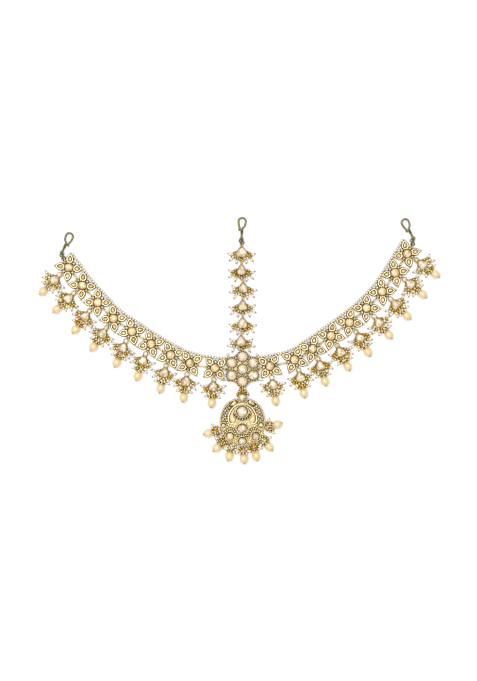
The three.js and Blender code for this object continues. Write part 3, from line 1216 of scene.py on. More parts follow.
def shape_of(mesh: bpy.types.Mesh) -> Shape:
    """A plain mesh's corners, faces, shade and tone.

    Args:
        mesh: The mesh, in millimetres.

    Returns:
        The same as a shape, with faces of more than four sides cut into triangles.
    """
    count = len(mesh.vertices)
    points = np.zeros(count * 3, np.float32)
    mesh.vertices.foreach_get("co", points)
    corners = np.zeros(len(mesh.loops), np.int32)
    mesh.loops.foreach_get("vertex_index", corners)
    starts = np.zeros(len(mesh.polygons), np.int32)
    mesh.polygons.foreach_get("loop_start", starts)
    sizes = np.diff(np.append(starts, len(corners)))
    tris, quads = [np.zeros((0, 3), int)], np.zeros((0, 4), int)
    for size in np.unique(sizes):
        faces = corners[starts[sizes == size][:, None] + np.arange(size)]
        if size == 4:
            quads = faces
        else:
            tris += [faces[:, [0, i, i + 1]] for i in range(1, size - 1)]
    numbers = {}
    for name in (SHADE, TONE):
        kept = np.full(count, 0.5, np.float32)
        if name in mesh.attributes and mesh.attributes[name].domain == "POINT":
            mesh.attributes[name].data.foreach_get("value", kept)
        numbers[name] = kept.astype(float)
    corners = points.reshape(-1, 3).astype(float)
    return Shape(corners, quads, np.concatenate(tris), numbers[SHADE], numbers[TONE])


class Workbench:
    """The finishes and the node trees that every piece is made with."""

    SHARP_FROM = 58.0

    def __init__(self) -> None:
        """Builds every material and tree once."""
        finishes = (GOLD, BRASS, CREAM_STONE, PEACH_STONE, CREAM_PEARL, WHITE_PEARL, TABLE)
        self.materials = {finish.name: finish.material() for finish in finishes}
        self.granule_tree, self.row_tree, self.wire_tree = Granules(), BeadRow(), Wire()

    def granules(self, dots: Skeleton, finish: Finish = GOLD, segments: int = 8, **values: float) -> Shape:
        """Balls on points, with a number of faces round each."""
        given = {"Segments": segments, "Rings": max(5, segments // 2 + 1), "Stain": 0.7} | values
        return self.granule_tree.grown(dots, self.materials[finish.name], **given)

    def seed_pearls(self, dots: Skeleton) -> Shape:
        """Seed pearls on points."""
        return self.granules(dots, WHITE_PEARL, 12)

    def row(self, line: Skeleton, finish: Finish = GOLD, **values: float) -> Shape:
        """Balls along a line."""
        return self.row_tree.grown(line, self.materials[finish.name], **values)

    def wire(self, lines: Skeleton, finish: Finish = GOLD, sides: int = 6) -> Shape:
        """Wire along lines."""
        return self.wire_tree.grown(lines, self.materials[finish.name], Sides=sides)

    def piece(self, name: str, shapes: Iterable[Shape], finish: Finish, stands_for: str = "") -> None:
        """Makes a finished piece that rides on the model.

        Args:
            name: The piece's name.
            shapes: Its surfaces, in the row frame.
            finish: Its finish.
            stands_for: The CAD node that it replaces.
        """
        mesh = bpy.data.meshes.new(name)
        shape = Shape.joined(shapes)
        quads, tris = shape.quads, shape.tris
        loops = np.concatenate([quads.ravel(), tris.ravel()]).astype(np.int32)
        sizes = np.concatenate([np.full(len(quads), 4), np.full(len(tris), 3)]).astype(np.int32)
        mesh.vertices.add(len(shape.points))
        mesh.vertices.foreach_set("co", (shape.points * METRES).ravel().astype(np.float32))
        mesh.loops.add(len(loops))
        mesh.loops.foreach_set("vertex_index", loops)
        mesh.polygons.add(len(sizes))
        mesh.polygons.foreach_set("loop_start", (np.cumsum(sizes) - sizes).astype(np.int32))
        mesh.polygons.foreach_set("use_smooth", np.ones(len(sizes), bool))
        mesh.update(calc_edges=True)
        mesh.validate()
        keep(mesh, {SHADE: shape.shade, TONE: shape.tone})
        mesh.set_sharp_from_angle(angle=math.radians(self.SHARP_FROM))
        mesh.materials.append(self.materials[finish.name])
        made = in_scene(name, mesh)
        if finish.slot is None:
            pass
        else:
            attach(made, "root")
        if stands_for:
            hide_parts(stands_for)
        log.info("%s: %d faces", name, len(sizes))


# ---- layout


class Side(Enum):
    """The two halves of the forehead band, with the sign of X that each lies on."""

    LEFT = -1
    RIGHT = 1

    @property
    def word(self) -> str:
        """The side's name in node names."""
        return self.name.lower()


@dataclass(frozen=True)
class Layout:
    """Where the pieces lie, as the CAD model has them, about the middle of the centrepiece."""

    steps: tuple[float, ...] = (20.9, 19.4, 15.9, 17.1, 17.3, 17.0, 17.2, 17.3, 17.2)
    rises: Mapping[Side, tuple[float, ...]] = field(
        default_factory=lambda: {
            Side.LEFT: (2, 11, 23, 30, 33, 35, 45, 48, 53),
            Side.RIGHT: (6, 15, 31, 35, 36, 40, 47, 55, 58),
        }
    )
    hangs: Mapping[Side, tuple[float, ...]] = field(
        default_factory=lambda: {
            Side.LEFT: (4, 8, 14, 20, 25, 34, 38, 45, 45),
            Side.RIGHT: (8, 14, 18, 26, 31, 38, 43, 51, 51),
        }
    )
    drop_from: float = 6.6
    link_first: float = 21.4
    link_pitch: float = 13.5
    link_sways: tuple[float, ...] = (-1.0, 0.2, 0.2, 0.5, -0.7, -0.7)
    pendant_y: float = -40.7
    pendant_foot: float = 18.1
    pendant_at: tuple[float, ...] = (-72, -47, -25, 1, 26, 51, 77)
    pendant_points: tuple[float, ...] = (-75, -44, -15, 5, 15, 42, 108)

    @property
    def middle(self) -> Place:
        """The middle of the centrepiece in the row frame."""
        low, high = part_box("centrepiece")
        return Place((low.x + high.x) / 2 / METRES, (low.y + high.y) / 2 / METRES)

    def flowers(self, side: Side) -> list[Place]:
        """Follows the band of one side.

        Args:
            side: The side.

        Returns:
            Its flowers, from the centrepiece outwards.
        """
        places, x, y = [], 0.0, 0.0
        rises = self.rises[side]
        for step, rise, after in zip(self.steps, rises, [*rises[1:], rises[-1]]):
            x, y = Place(x, y, side.value * rise).at(side.value * step, 0)
            places.append(Place(x, y, side.value * (rise + after) / 2))
        return [self.middle.then(place) for place in places]

    def drops(self, side: Side) -> list[Place]:
        """The points that the drops of one side hang from."""
        pairs = zip(self.flowers(side), self.hangs[side])
        return [Place(*flower.at(0, -self.drop_from), side.value * hang) for flower, hang in pairs]

    def links(self) -> list[Place]:
        """The links of the parting chain, from the centrepiece upwards."""
        rows = [self.link_first + i * self.link_pitch for i in range(len(self.link_sways))]
        return [self.middle.then(Place(sway, y)) for sway, y in zip(self.link_sways, rows)]

    def pendant(self) -> Place:
        """The pendant's middle."""
        return self.middle.then(Place(0, self.pendant_y))

    def pendant_drops(self) -> list[Place]:
        """The points that the pendant's drops hang from."""
        turned = [self.pendant().then(Place(turn=at)) for at in self.pendant_at]
        return [Place(*place.at(0, -self.pendant_foot), to) for place, to in zip(turned, self.pendant_points)]


def lit(tones: random.Random) -> float:
    """A piece's own tone."""
    return tones.uniform(0.0, 1.0)


@dataclass(frozen=True)
class Assembly:
    """What every sub-assembly has: the bench that it is made on and the layout that it follows."""

    bench: Workbench
    layout: Layout

    def build(self) -> None:
        """Makes and dresses every piece."""
        raise NotImplementedError


# ---- bead work


@dataclass(frozen=True)
class Spray:
    """Three seed pearls on headpins that fan out along +X from under the grains."""

    seed: float = 1.2
    seed_at: float = 4.3
    pin_end: float = 5.9
    ball: float = 0.56
    fan: tuple[float, ...] = (-60, -4, 56)
    height: float = 1.4

    def pins(self) -> Skeleton:
        """The headpins through the seed pearls."""
        line = Skeleton.line([(0.5, 0, self.height), (self.pin_end, 0, self.height - 0.4)], 0.15, 0.2)
        return line.around(self.fan)

    def pin_balls(self) -> Skeleton:
        """The balls on the headpins' ends."""
        return Skeleton.dots([(self.pin_end, 0, self.height - 0.4)], self.ball, 0.3).around(self.fan)

    def seeds(self) -> Skeleton:
        """The seed pearls."""
        return Skeleton.dots([(self.seed_at, 0, self.height - 0.25)], self.seed, 0.4).around(self.fan)


def sprays(places: Sequence[Place]) -> tuple[Skeleton, Skeleton, Skeleton]:
    """Sets a spray at each place.

    Args:
        places: The places.

    Returns:
        The pins, the balls on their ends and the seed pearls.
    """
    spray = Spray()
    kinds = (spray.pins(), spray.pin_balls(), spray.seeds())
    pins, balls, seeds = (Skeleton.joined(kind.placed(at) for at in places) for kind in kinds)
    return pins, balls, seeds


@dataclass(frozen=True)
class PearlDrop:
    """A pearl on its headpin below a cluster of gold beads, hanging along -Y."""

    cluster: float
    pearl_at: float
    pearl: float = 3.12
    middle: float = 2.88
    long: float = 1.14
    side_seed: float = 4.9
    side_pin: float = 5.9

    def grains(self) -> Skeleton:
        """The standing beads of the gold cluster, and the ring of grains on the pearl's upper end.

        Returns:
            Loose points.
        """
        y = -self.cluster
        beads = standing_beads([(-1.7, y + 1.2, 1.2), (1.6, y + 1.1, 0.3), (0.1, y - 0.9, 0.0)], 0.82)
        turn = np.radians(np.arange(0, 360, 60))
        top = -self.pearl_at + self.pearl * self.long * 0.93
        cap = [(1.1 * math.cos(a), top, self.middle + 1.1 * math.sin(a)) for a in turn]
        return beads + Skeleton.dots(cap, 0.5, 0.8)

    def seeds(self) -> Skeleton:
        """Seed pearls beside the cluster."""
        y = -self.cluster - 0.9
        return Skeleton.dots([(-self.side_seed, y, 1.25), (self.side_seed, y, 1.25)], 1.1, 0.6)

    def pin_balls(self) -> Skeleton:
        """The balls on the headpins' ends.

        Returns:
            Loose points.
        """
        y = -self.cluster - 1.6
        foot = -self.pearl_at - self.pearl * self.long - 0.2
        beside = Skeleton.dots([(-self.side_pin, y, 1.0), (self.side_pin, y, 1.0)], 0.52, 0.3)
        return beside + Skeleton.dots([(0, foot, self.middle)], 0.5, 0.4)

    def pins(self, top: float) -> Skeleton:
        """The headpin through the pearl, and two side pins.

        Args:
            top: How far down the headpin starts.

        Returns:
            The pins' lines.
        """
        y = -self.cluster
        pin = Skeleton.line([(0, -top, 1.4), (0, y, 1.5), (0, -self.pearl_at, self.middle)], 0.24, 0.5)
        for end in (-self.side_pin, self.side_pin):
            pin += Skeleton.line([(0, y - 0.3, 1.3), (end, y - 1.6, 1.0)], 0.14, 0.2)
        return pin

    def pearl_shape(self, tone: float) -> Shape:
        """The pearl."""
        return orb(self.pearl, self.middle, self.long, 24).toned(tone).placed(Place(0, -self.pearl_at))


# ---- the forehead band


@dataclass(frozen=True)
class Flower:
    """A cast flower plate: four leaf-set petals round a domed stone, with grains and knobs."""

    dome: float = 3.2
    dome_top: float = 3.75
    petal: Leaf = Leaf(3.1, 10.75, 3.05, 0.6, 18, 0.08)
    petal_rim: tuple[float, float, float] = (0.4, 0.9, 0.42)
    knob_at: float = 10.8
    cup_at: float = 4.75
    eye_at: float = 6.6
    foot_at: float = 6.15

    DIAGONALS = (45, 135, 225, 315)
    AXES = (0, 90, 180, 270)

    def casting(self, bench: Workbench, link_to: tuple[float, float], side: Side, is_last: bool) -> Shape:
        """The metal of one flower.

        Args:
            bench: The workbench.
            link_to: The eye of the piece before it, in this flower's plane.
            side: Which half of the band it is on.
            is_last: Whether it ends the band.

        Returns:
            The plate, its settings, grains, eyes and jump ring.
        """
        ledge, width, groove = self.petal_rim
        section = bezel(2.5, 1.35, width, ledge=ledge, groove=groove, fall=0.08)
        petal = raised(self.petal, section).toned(0.25)
        cup = raised(Round(1.35, 14), bezel(2.1, 1.7, 0.2, ledge=0.14)).toned(0.2).placed(Place(self.cup_at))
        solids = [
            petal.around(self.DIAGONALS),
            # a base disc dark all over with painted shade, seen as a dark ring between the petals
            raised(Round(4.3, 32), [(0, 0, 1), (0, 1.2, 1), (0.15, 1.42, 1), (0.9, 1.45, 1)]),
            raised(Round(self.dome + 0.2, 32), bezel(2.7, 2.45, 0.18, foot=1.3)),
            cup.around(self.AXES),
        ]
        collar = circle_of_dots(4.05, 8, 2.4, 0.68).placed(Place(turn=22.5))
        knobs = Skeleton.dots([(self.knob_at, 0, 1.3)], 0.72, 0.5).around(self.DIAGONALS)
        dots = collar + knobs + Skeleton.dots([(self.foot_at, 0, 1.1)], 0.5, 0.6).around(self.AXES)
        inner, outer = -side.value * self.eye_at, side.value * self.eye_at
        wires = [
            Skeleton.hoop(0.85, 0.26, 1.25).placed(Place(inner)),
            Skeleton.hoop(0.8, 0.26, 1.3).placed(Place(0, -self.foot_at - 0.25)),
            Skeleton.hoop(0.9, 0.27, 1.6 if is_last else 1.25).placed(Place(outer)),
            jump_ring((inner, 0.0), link_to),
        ]
        eyes = bench.wire(Skeleton.joined(wires)).aged(0.25)
        return Shape.joined([*solids, bench.granules(dots, Stain=0.6), eyes])

    def petal_stone(self, tone: float) -> Shape:
        """The leaf stone of the petal along +X."""
        leaf = replace(self.petal.within(sum(self.petal_rim) - 0.03), steps=10)
        return dome(leaf, leaf.half * 0.8, 1.3, 2.55, 4).toned(tone)

    def dome_stone(self) -> Shape:
        """The stone in the middle."""
        return dome(Round(self.dome, 24), self.dome, 2.4, self.dome_top, 7)

    def cup_stones(self) -> Shape:
        """The small white stones between the petals."""
        return dome(Round(1.0, 12), 1.0, 1.65, 2.7, 4).toned(0.0).placed(Place(self.cup_at)).around(self.AXES)


def jump_ring(start: tuple[float, float], end: tuple[float, float]) -> Skeleton:
    """A leaning oval ring through two level eyes.

    Args:
        start: The middle of one eye.
        end: The middle of the other.

    Returns:
        A closed line.
    """
    radius = 0.85
    stretch = max(math.dist(start, end) / 2 - radius, 0.0)
    turn = math.degrees(math.atan2(end[1] - start[1], end[0] - start[0]))
    place = Place((start[0] + end[0]) / 2, (start[1] + end[1]) / 2, turn)
    return Skeleton.hoop(radius, 0.22, 1.3, stretch, 56).placed(place)


@dataclass(frozen=True)
class BandDrop:
    """The drop under a flower: a collar stone, a leaf stone with a spray at each side, and a pearl."""

    collar: float = 2.0
    collar_at: float = -2.15
    leaf: Leaf = Leaf(-11.3, -3.1, 3.7, 0.5, 15)
    spray_at: tuple[float, float] = (4.05, -8.8)
    pearl: PearlDrop = PearlDrop(14.1, 19.9)
    pivot: float = 11.0
    swings: float = 3.5
    tilts: float = 14.0
    filling: Filling = Filling(
        (
            (0.0, -1.6), (1.1, -2.6), (2.0, -4.6), (4.1, -6.0), (6.4, -7.2), (7.2, -9.0), (6.4, -11.0),
            (4.9, -12.2), (4.1, -13.4), (4.2, -14.8), (3.0, -16.2), (0.0, -16.7),
        )
    )

    def sprays(self, tilts: tuple[float, float]) -> tuple[Skeleton, Skeleton, Skeleton]:
        """The pins, balls and seed pearls of the two sprays, each turned a little."""
        x, y = self.spray_at
        return sprays([Place(x, y, -40 + tilts[0]), Place(-x, y, 220 + tilts[1])])

    def hanging(self, swing: float) -> Place:
        """How the pearl hangs from the leaf's foot."""
        return Place(0, -self.pivot, swing).then(Place(0, self.pivot))

    def metal(self, bench: Workbench, tilts: tuple[float, float], swing: float) -> Shape:
        """The settings, standing beads and pins.

        Args:
            bench: The workbench.
            tilts: How far each spray is turned from its usual direction.
            swing: How far the pearl hangs to one side.

        Returns:
            The metal of one drop.
        """
        leaf = raised(self.leaf, bezel(2.45, 1.7, 0.36)).toned(0.45).placed(UPRIGHT)
        collar = raised(Round(self.collar, 20), bezel(2.3, 1.7, 0.34)).toned(0.35)
        settings = Shape.joined([leaf, collar.placed(Place(0, self.collar_at))]).aged(-0.4)
        lower = self.hanging(swing)
        spray_pins, spray_balls, _ = self.sprays(tilts)
        grains = bench.granules(self.pearl.grains().placed(lower))
        balls = bench.granules(self.pearl.pin_balls().placed(lower) + spray_balls).aged(0.3)
        loop = Skeleton.hoop(0.75, 0.24, 1.3, 0.0, 50).placed(Place(0, -0.35, 90))
        wires = bench.wire(self.pearl.pins(11.2).placed(lower) + spray_pins + loop)
        return Shape.joined([settings, grains, balls, wires])

    def packed(self, bench: Workbench, chance: random.Random) -> tuple[Shape, Shape]:
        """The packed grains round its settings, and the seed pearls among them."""
        clear = [(0.0, self.collar_at, self.collar), *self.leaf.discs(UPRIGHT)]
        return self.filling.shapes(bench, chance, clear)

    def stones(self, tone: float) -> Shape:
        """The leaf stone and the collar stone."""
        leaf = leaf_stone(self.leaf, 0.38, 1.65, 3.5, 6).toned(tone * 0.6).placed(UPRIGHT)
        collar = dome(Round(1.64, 18), 1.64, 1.65, 2.9, 5).toned(0.0).placed(Place(0, self.collar_at))
        return Shape.joined([leaf, collar]).aged(-0.35)

    def seeds(self, tilts: tuple[float, float], swing: float) -> Skeleton:
        """The seed pearls."""
        return self.pearl.seeds().placed(self.hanging(swing)) + self.sprays(tilts)[2]


@dataclass(frozen=True)
class ForeheadBand(Assembly):
    """One half of the forehead band: nine flowers, their drops and the pearl string along its inner edge."""

    side: Side
    flower: Flower = Flower()
    drop: BandDrop = BandDrop()
    string_bead: float = 1.08
    string_spacing: float = 2.17

    def build(self) -> None:
        """Makes and dresses every piece of this half."""
        chance = random.Random(11 + self.side.value)
        bench, word = self.bench, self.side.word
        flowers, drops = self.layout.flowers(self.side), self.layout.drops(self.side)
        before = self.layout.middle.at(self.side.value * 11.9, -0.3)
        domes, petals, cups, drop_stones, pearls, seeds = [], [], [], [], [], []
        for i, (flower, drop) in enumerate(zip(flowers, drops), 1):
            back = Place(turn=-flower.turn).at(before[0] - flower.x, before[1] - flower.y)
            casting = self.flower.casting(bench, back, self.side, i == len(flowers))
            bench.piece(f"flower_{word}_{i}_casting", [casting.placed(flower)], GOLD, f"flower_{word}_{i}")
            before = flower.at(self.side.value * self.flower.eye_at, 0)
            domes.append(self.flower.dome_stone().toned(lit(chance)).placed(flower))
            for turn in Flower.DIAGONALS:
                petals.append(self.flower.petal_stone(lit(chance)).placed(flower.then(Place(turn=turn))))
            cups.append(self.flower.cup_stones().placed(flower))

            reach = self.drop.tilts
            tilts = (chance.uniform(-reach, reach), chance.uniform(-reach, reach))
            swing = chance.uniform(-self.drop.swings, self.drop.swings)
            packed_metal, packed_seeds = self.drop.packed(bench, chance)
            metal = Shape.joined([self.drop.metal(bench, tilts, swing), packed_metal]).placed(drop)
            bench.piece(f"drop_{word}_{i}_metal", [metal], GOLD, f"drop_{word}_{i}")
            drop_stones.append(self.drop.stones(lit(chance)).placed(drop))
            pearl = self.drop.pearl.pearl_shape(lit(chance)).placed(self.drop.hanging(swing))
            pearls.append(pearl.placed(drop))
            seeds.append(bench.seed_pearls(self.drop.seeds(tilts, swing)).placed(drop))
            seeds.append(packed_seeds.placed(drop))
        bench.piece(f"flower_domes_{word}", domes, PEACH_STONE)
        bench.piece(f"petal_stones_{word}", petals, CREAM_STONE)
        bench.piece(f"cup_stones_{word}", cups, CREAM_STONE)
        bench.piece(f"drop_stones_{word}", drop_stones, CREAM_STONE)
        bench.piece(f"drop_pearls_{word}", pearls, CREAM_PEARL)
        bench.piece(f"seed_pearls_{word}", seeds, WHITE_PEARL)
        self.string(flowers)

    def string(self, flowers: Sequence[Place]) -> None:
        """Makes the pearl string past every flower's upper petal tips.

        Args:
            flowers: The flowers of this half.
        """
        points = [self.layout.middle.at(self.side.value * 11.2, 11.0)]
        for flower in flowers:
            points += [flower.at(end * self.side.value * 6.3, 8.3) for end in (-1, 1)]
        route = Skeleton.line(flowing([(x, y, 1.1) for x, y in points], 8), 1.0)
        balls = {"Segments": 12, "Rings": 7, "Bead": self.string_bead, "Unevenness": 0.04}
        pearls = self.bench.row(route, WHITE_PEARL, Spacing=self.string_spacing, **balls)
        word = self.side.word
        self.bench.piece(f"edge_pearls_{word}", [pearls], WHITE_PEARL, f"pearl_string_{word}")


# ---- the parting chain


@dataclass(frozen=True)
class PartingChain(Assembly):
    """Six leaf-shaped links that climb the hair parting, with grains, tails and sprays."""

    leaf: Leaf = Leaf(-4.4, 4.65, 4.0, 0.5, 17)
    halves: tuple[float, ...] = (4.0, 4.1, 3.8, 3.9, 3.7, 4.6)
    filling: Filling = Filling(
        (
            (0.0, 1.0), (3.0, 0.8), (4.6, 0.6), (6.6, -0.6), (7.9, -2.4), (7.2, -4.2), (5.2, -4.9),
            (2.8, -5.7), (1.3, -6.9), (0.0, -7.4),
        )
    )
    spray_at: tuple[float, float] = (4.6, -2.95)
    dips: tuple[tuple[float, float], ...] = ((12, 8), (40, 42), (44, 22), (10, 45), (32, 38), (42, 40))

    def sprays(self, row: int) -> tuple[Skeleton, Skeleton, Skeleton]:
        """The pins, balls and seed pearls of the two sprays of a link."""
        x, y = self.spray_at
        left, right = self.dips[row]
        return sprays([Place(x, y, -right), Place(-x, y, 180 + left)])

    def leaf_of(self, row: int) -> Leaf:
        """The leaf of one link."""
        return replace(self.leaf, half=self.halves[row])

    def metal(self, row: int) -> Shape:
        """The setting, standing beads and pins of one link.

        Args:
            row: Which link, counted from the centrepiece.

        Returns:
            The metal.
        """
        outline = self.leaf_of(row)
        leaf = raised(outline, bezel(2.4, 1.7, 0.38)).toned(0.3).placed(UPRIGHT)
        foot = outline.root
        tail = [(-1.6, foot - 0.5, 0.2), (1.5, foot - 0.4, 1.2), (0.0, foot - 1.4, 0.3)]
        arms = [(-4.6, -2.6, 1.1), (4.7, -2.4, 0.2), (5.6, -3.5, 1.2), (-5.8, -3.4, 0.2)]
        pins, balls, _ = self.sprays(row)
        lower = Skeleton.hoop(0.75, 0.26, 1.2, 0.15).placed(Place(0, foot - 3.0, 90))
        is_last = row == len(self.dips) - 1
        eye = Skeleton.hoop(0.95, 0.3, 1.6) if is_last else Skeleton.hoop(0.7, 0.3, 1.2)
        rings = lower + eye.placed(Place(0, outline.tip + 0.75))
        standing = self.bench.granules(standing_beads(tail + arms))
        dark = Shape.joined([self.bench.granules(balls), self.bench.wire(rings)]).aged(0.4)
        return Shape.joined([leaf, standing, dark, self.bench.wire(pins)])

    def build(self) -> None:
        """Makes and dresses every link."""
        chance = random.Random(23)
        stones, seeds = [], []
        for row, place in enumerate(self.layout.links()):
            leaf = self.leaf_of(row)
            packed_metal, packed_seeds = self.filling.shapes(self.bench, chance, leaf.discs(UPRIGHT))
            metal = Shape.joined([self.metal(row), packed_metal]).placed(place)
            self.bench.piece(f"parting_link_{row + 1}_metal", [metal], GOLD, f"parting_link_{row + 1}")
            stone = leaf_stone(leaf, 0.42, 1.65, 3.6, 7).toned(lit(chance))
            stones.append(stone.placed(UPRIGHT).placed(place))
            loose = self.bench.seed_pearls(self.sprays(row)[2])
            seeds.append(Shape.joined([loose, packed_seeds]).placed(place))
        self.bench.piece("parting_stones", stones, CREAM_STONE)
        self.bench.piece("parting_seed_pearls", seeds, WHITE_PEARL)


# ---- the centrepiece


@dataclass(frozen=True)
class Centrepiece(Assembly):
    """Six round stones about a seventh on one plate, and the bail link that the pendant hangs from."""

    ring: float = 9.4
    setting: float = 4.66
    stone: float = 3.82
    eye_at: float = 11.95
    knob_at: float = 13.1
    bail: Leaf = Leaf(-3.1, 3.2, 3.45, 0.5, 14)
    bail_top: float = -13.4
    bail_at: float = -8.5
    crown: Filling = Filling(
        ((0.0, 0.2), (1.6, 0.0), (2.3, -1.6), (3.0, -3.4), (4.3, -5.0), (4.6, -6.6), (3.3, -7.6), (0.0, -7.9))
    )

    SIXTHS = (30, 90, 150, 210, 270, 330)
    NOTCHES = (60, 120, 240, 300)
    SIDES = (0, 180)
    CORNERS = (38, 142, 218, 322)

    @property
    def places(self) -> list[Place]:
        """The middles of the seven settings."""
        return [Place()] + [Place(turn=turn).then(Place(self.ring)) for turn in self.SIXTHS]

    def field(self) -> Field:
        """The ground between the seven settings."""
        discs = np.array([[place.x, place.y, self.setting - 0.1] for place in self.places])
        corners = [Place(turn=turn).at(self.ring + 1.6, y) for turn in self.SIXTHS for y in (-3.4, 3.4)]
        return Field(np.array(corners), discs)

    def beads(self) -> Shape:
        """The beads outside the settings, the knobs, the milled collars and the grains between.

        Returns:
            The beads.
        """
        knob = self.knob_at
        dots = [
            Skeleton.dots([(10.4, 0, 1.5)], 0.95, 0.5).around(self.NOTCHES),
            Skeleton.dots([(11.5, 0.75, 1.1), (11.5, -0.75, 1.1)], 0.62, 0.4).around(self.NOTCHES),
            Skeleton.dots([(10.0, 1.0, 1.6), (10.0, -1.0, 1.6), (8.6, 0, 2.1)], 0.66, 0.4).around(self.SIDES),
            Skeleton.dots([(knob - 0.9, -1.1, 1.2)], 0.55, 0.5).around(self.CORNERS),
        ]
        knobs = Skeleton.dots([(knob, 0, 1.4), (knob + 0.75, 0.5, 1.0)], 0.72, 0.9).around(self.CORNERS)
        milling = circle_of_dots(self.setting - 0.34, 14, 2.7, 0.5)
        collars = milling + milling.placed(Place(self.ring)).around(self.SIXTHS)
        fill = self.field().packed((0.95, 0.7, 0.5, 0.34), 1.85, (0.0, 0.3), random.Random(3))
        beads, knobs = self.bench.granules(Skeleton.joined(dots)), self.bench.granules(knobs).aged(0.45)
        milled = self.bench.granules(collars, Flatness=0.7, Stain=0.2)
        return Shape.joined([beads, knobs, milled, self.bench.granules(fill, Flatness=0.7, Stain=0.4)])

    def wires(self) -> Skeleton:
        """The eyes at its sides, the tie wires along the first flowers, and the knobs' stems.

        Returns:
            Their lines.
        """
        eye = Skeleton.hoop(0.95, 0.34, 1.3, tone=0.9)
        eyes = eye.placed(Place(self.eye_at, -0.3)) + eye.placed(Place(-self.eye_at, -0.3))
        tie = np.array([(10.3, -8.0, 1.1), (13.2, -8.7, 0.8), (16.4, -8.5, 0.8)])
        ties = [Skeleton.line(flowing(tie * [side, 1, 1], 5), 0.2, 0.3) for side in (-1, 1)]
        stems = Skeleton.line([(11.6, 0, 1.0), (self.knob_at, 0, 1.2)], 0.3, 0.4).around(self.CORNERS)
        return Skeleton.joined([eyes, *ties, stems])

    def metal(self) -> Shape:
        """The plate, the seven settings, beads and wires.

        Returns:
            The metal.
        """
        plate = raised(Round(self.ring, 48), [(0, 0, 1), (0, 1.7, 1), (0.2, 1.9, 0.1)]).toned(0.1)
        section = bezel(2.7, 2.1, 0.52, foot=0.6, groove=0.3)
        setting = raised(Round(self.setting, 40), section).toned(0.0).aged(0.6)
        outer = setting.placed(Place(self.ring)).around(self.SIXTHS)
        return Shape.joined([plate, setting, outer, self.beads(), self.bench.wire(self.wires()).aged(0.55)])

    def stones(self, chance: random.Random) -> Shape:
        """The seven stones, with their tones drawn from chance."""
        stone = dome(Round(self.stone, 28), self.stone, 1.95, 3.7, 7)
        return Shape.joined(stone.toned(lit(chance)).placed(place) for place in self.places)

    def bail_work(self, chance: random.Random) -> tuple[Shape, Shape]:
        """The bail link under its crown of grains.

        Args:
            chance: What the grains are drawn from.

        Returns:
            Its metal, and the seed pearls among the grains.
        """
        at = Place(0, self.bail_at, -90)
        setting = raised(self.bail, bezel(2.6, 1.9, 0.4)).toned(0.5).placed(at)
        crown, seeds = self.crown.shapes(self.bench, chance, self.bail.discs(at))
        high = standing_beads([(0, -1.6, 0.5), (-1.6, -3.2, 0.5), (1.5, -3.4, 0.5)])
        metal = Shape.joined([setting, crown, self.bench.granules(high)])
        top = Place(0, self.bail_top)
        return metal.placed(top), seeds.placed(top)

    def build(self) -> None:
        """Makes and dresses the centrepiece and the bail link."""
        chance = random.Random(5)
        bench, middle = self.bench, self.layout.middle
        bench.piece("centrepiece_metal", [self.metal().placed(middle)], GOLD, "centrepiece")
        bench.piece("centrepiece_stones", [self.stones(chance).placed(middle)], CREAM_STONE)
        metal, seeds = self.bail_work(chance)
        bench.piece("bail_link_metal", [metal.placed(middle)], GOLD, "bail_link")
        bench.piece("bail_seed_pearls", [seeds.placed(middle)], WHITE_PEARL)
        at = Place(0, self.bail_top + self.bail_at, -90)
        stone = leaf_stone(self.bail, 0.42, 1.85, 3.4, 6).toned(0.3).placed(at)
        bench.piece("bail_stone", [stone.placed(middle)], CREAM_STONE)


# ---- the pendant


@dataclass(frozen=True)
class Setting:
    """A round stone of the pendant and how high it stands. A lobed one is wider than it is high."""

    x: float
    y: float
    radius: float
    top: float
    tone: float
    finish: Finish = CREAM_STONE
    lobes: int = 0

    @property
    def place(self) -> Place:
        """Its middle."""
        return Place(self.x, self.y)

    def outline(self, wider: float) -> Round:
        """The stone's outline, or a wider one round it."""
        if self.lobes:
            return Round(self.radius + wider, 48, self.lobes, 0.045, 0.84)
        return Round(self.radius + wider, 32)

    def collar(self, rim: float) -> Shape:
        """The metal round the stone, with a rim of the width given."""
        section = bezel(self.top - 1.1, self.top - 1.9, 0.7, foot=1.2, groove=0.3)
        return raised(self.outline(rim), section).toned(0.05).placed(self.place)

    def stone(self) -> Shape:
        """The stone."""
        shape = dome(self.outline(0.0), self.radius * 0.84, self.top - 1.75, self.top, 7).toned(self.tone)
        return shape.placed(Place(self.x, self.y - 0.2))


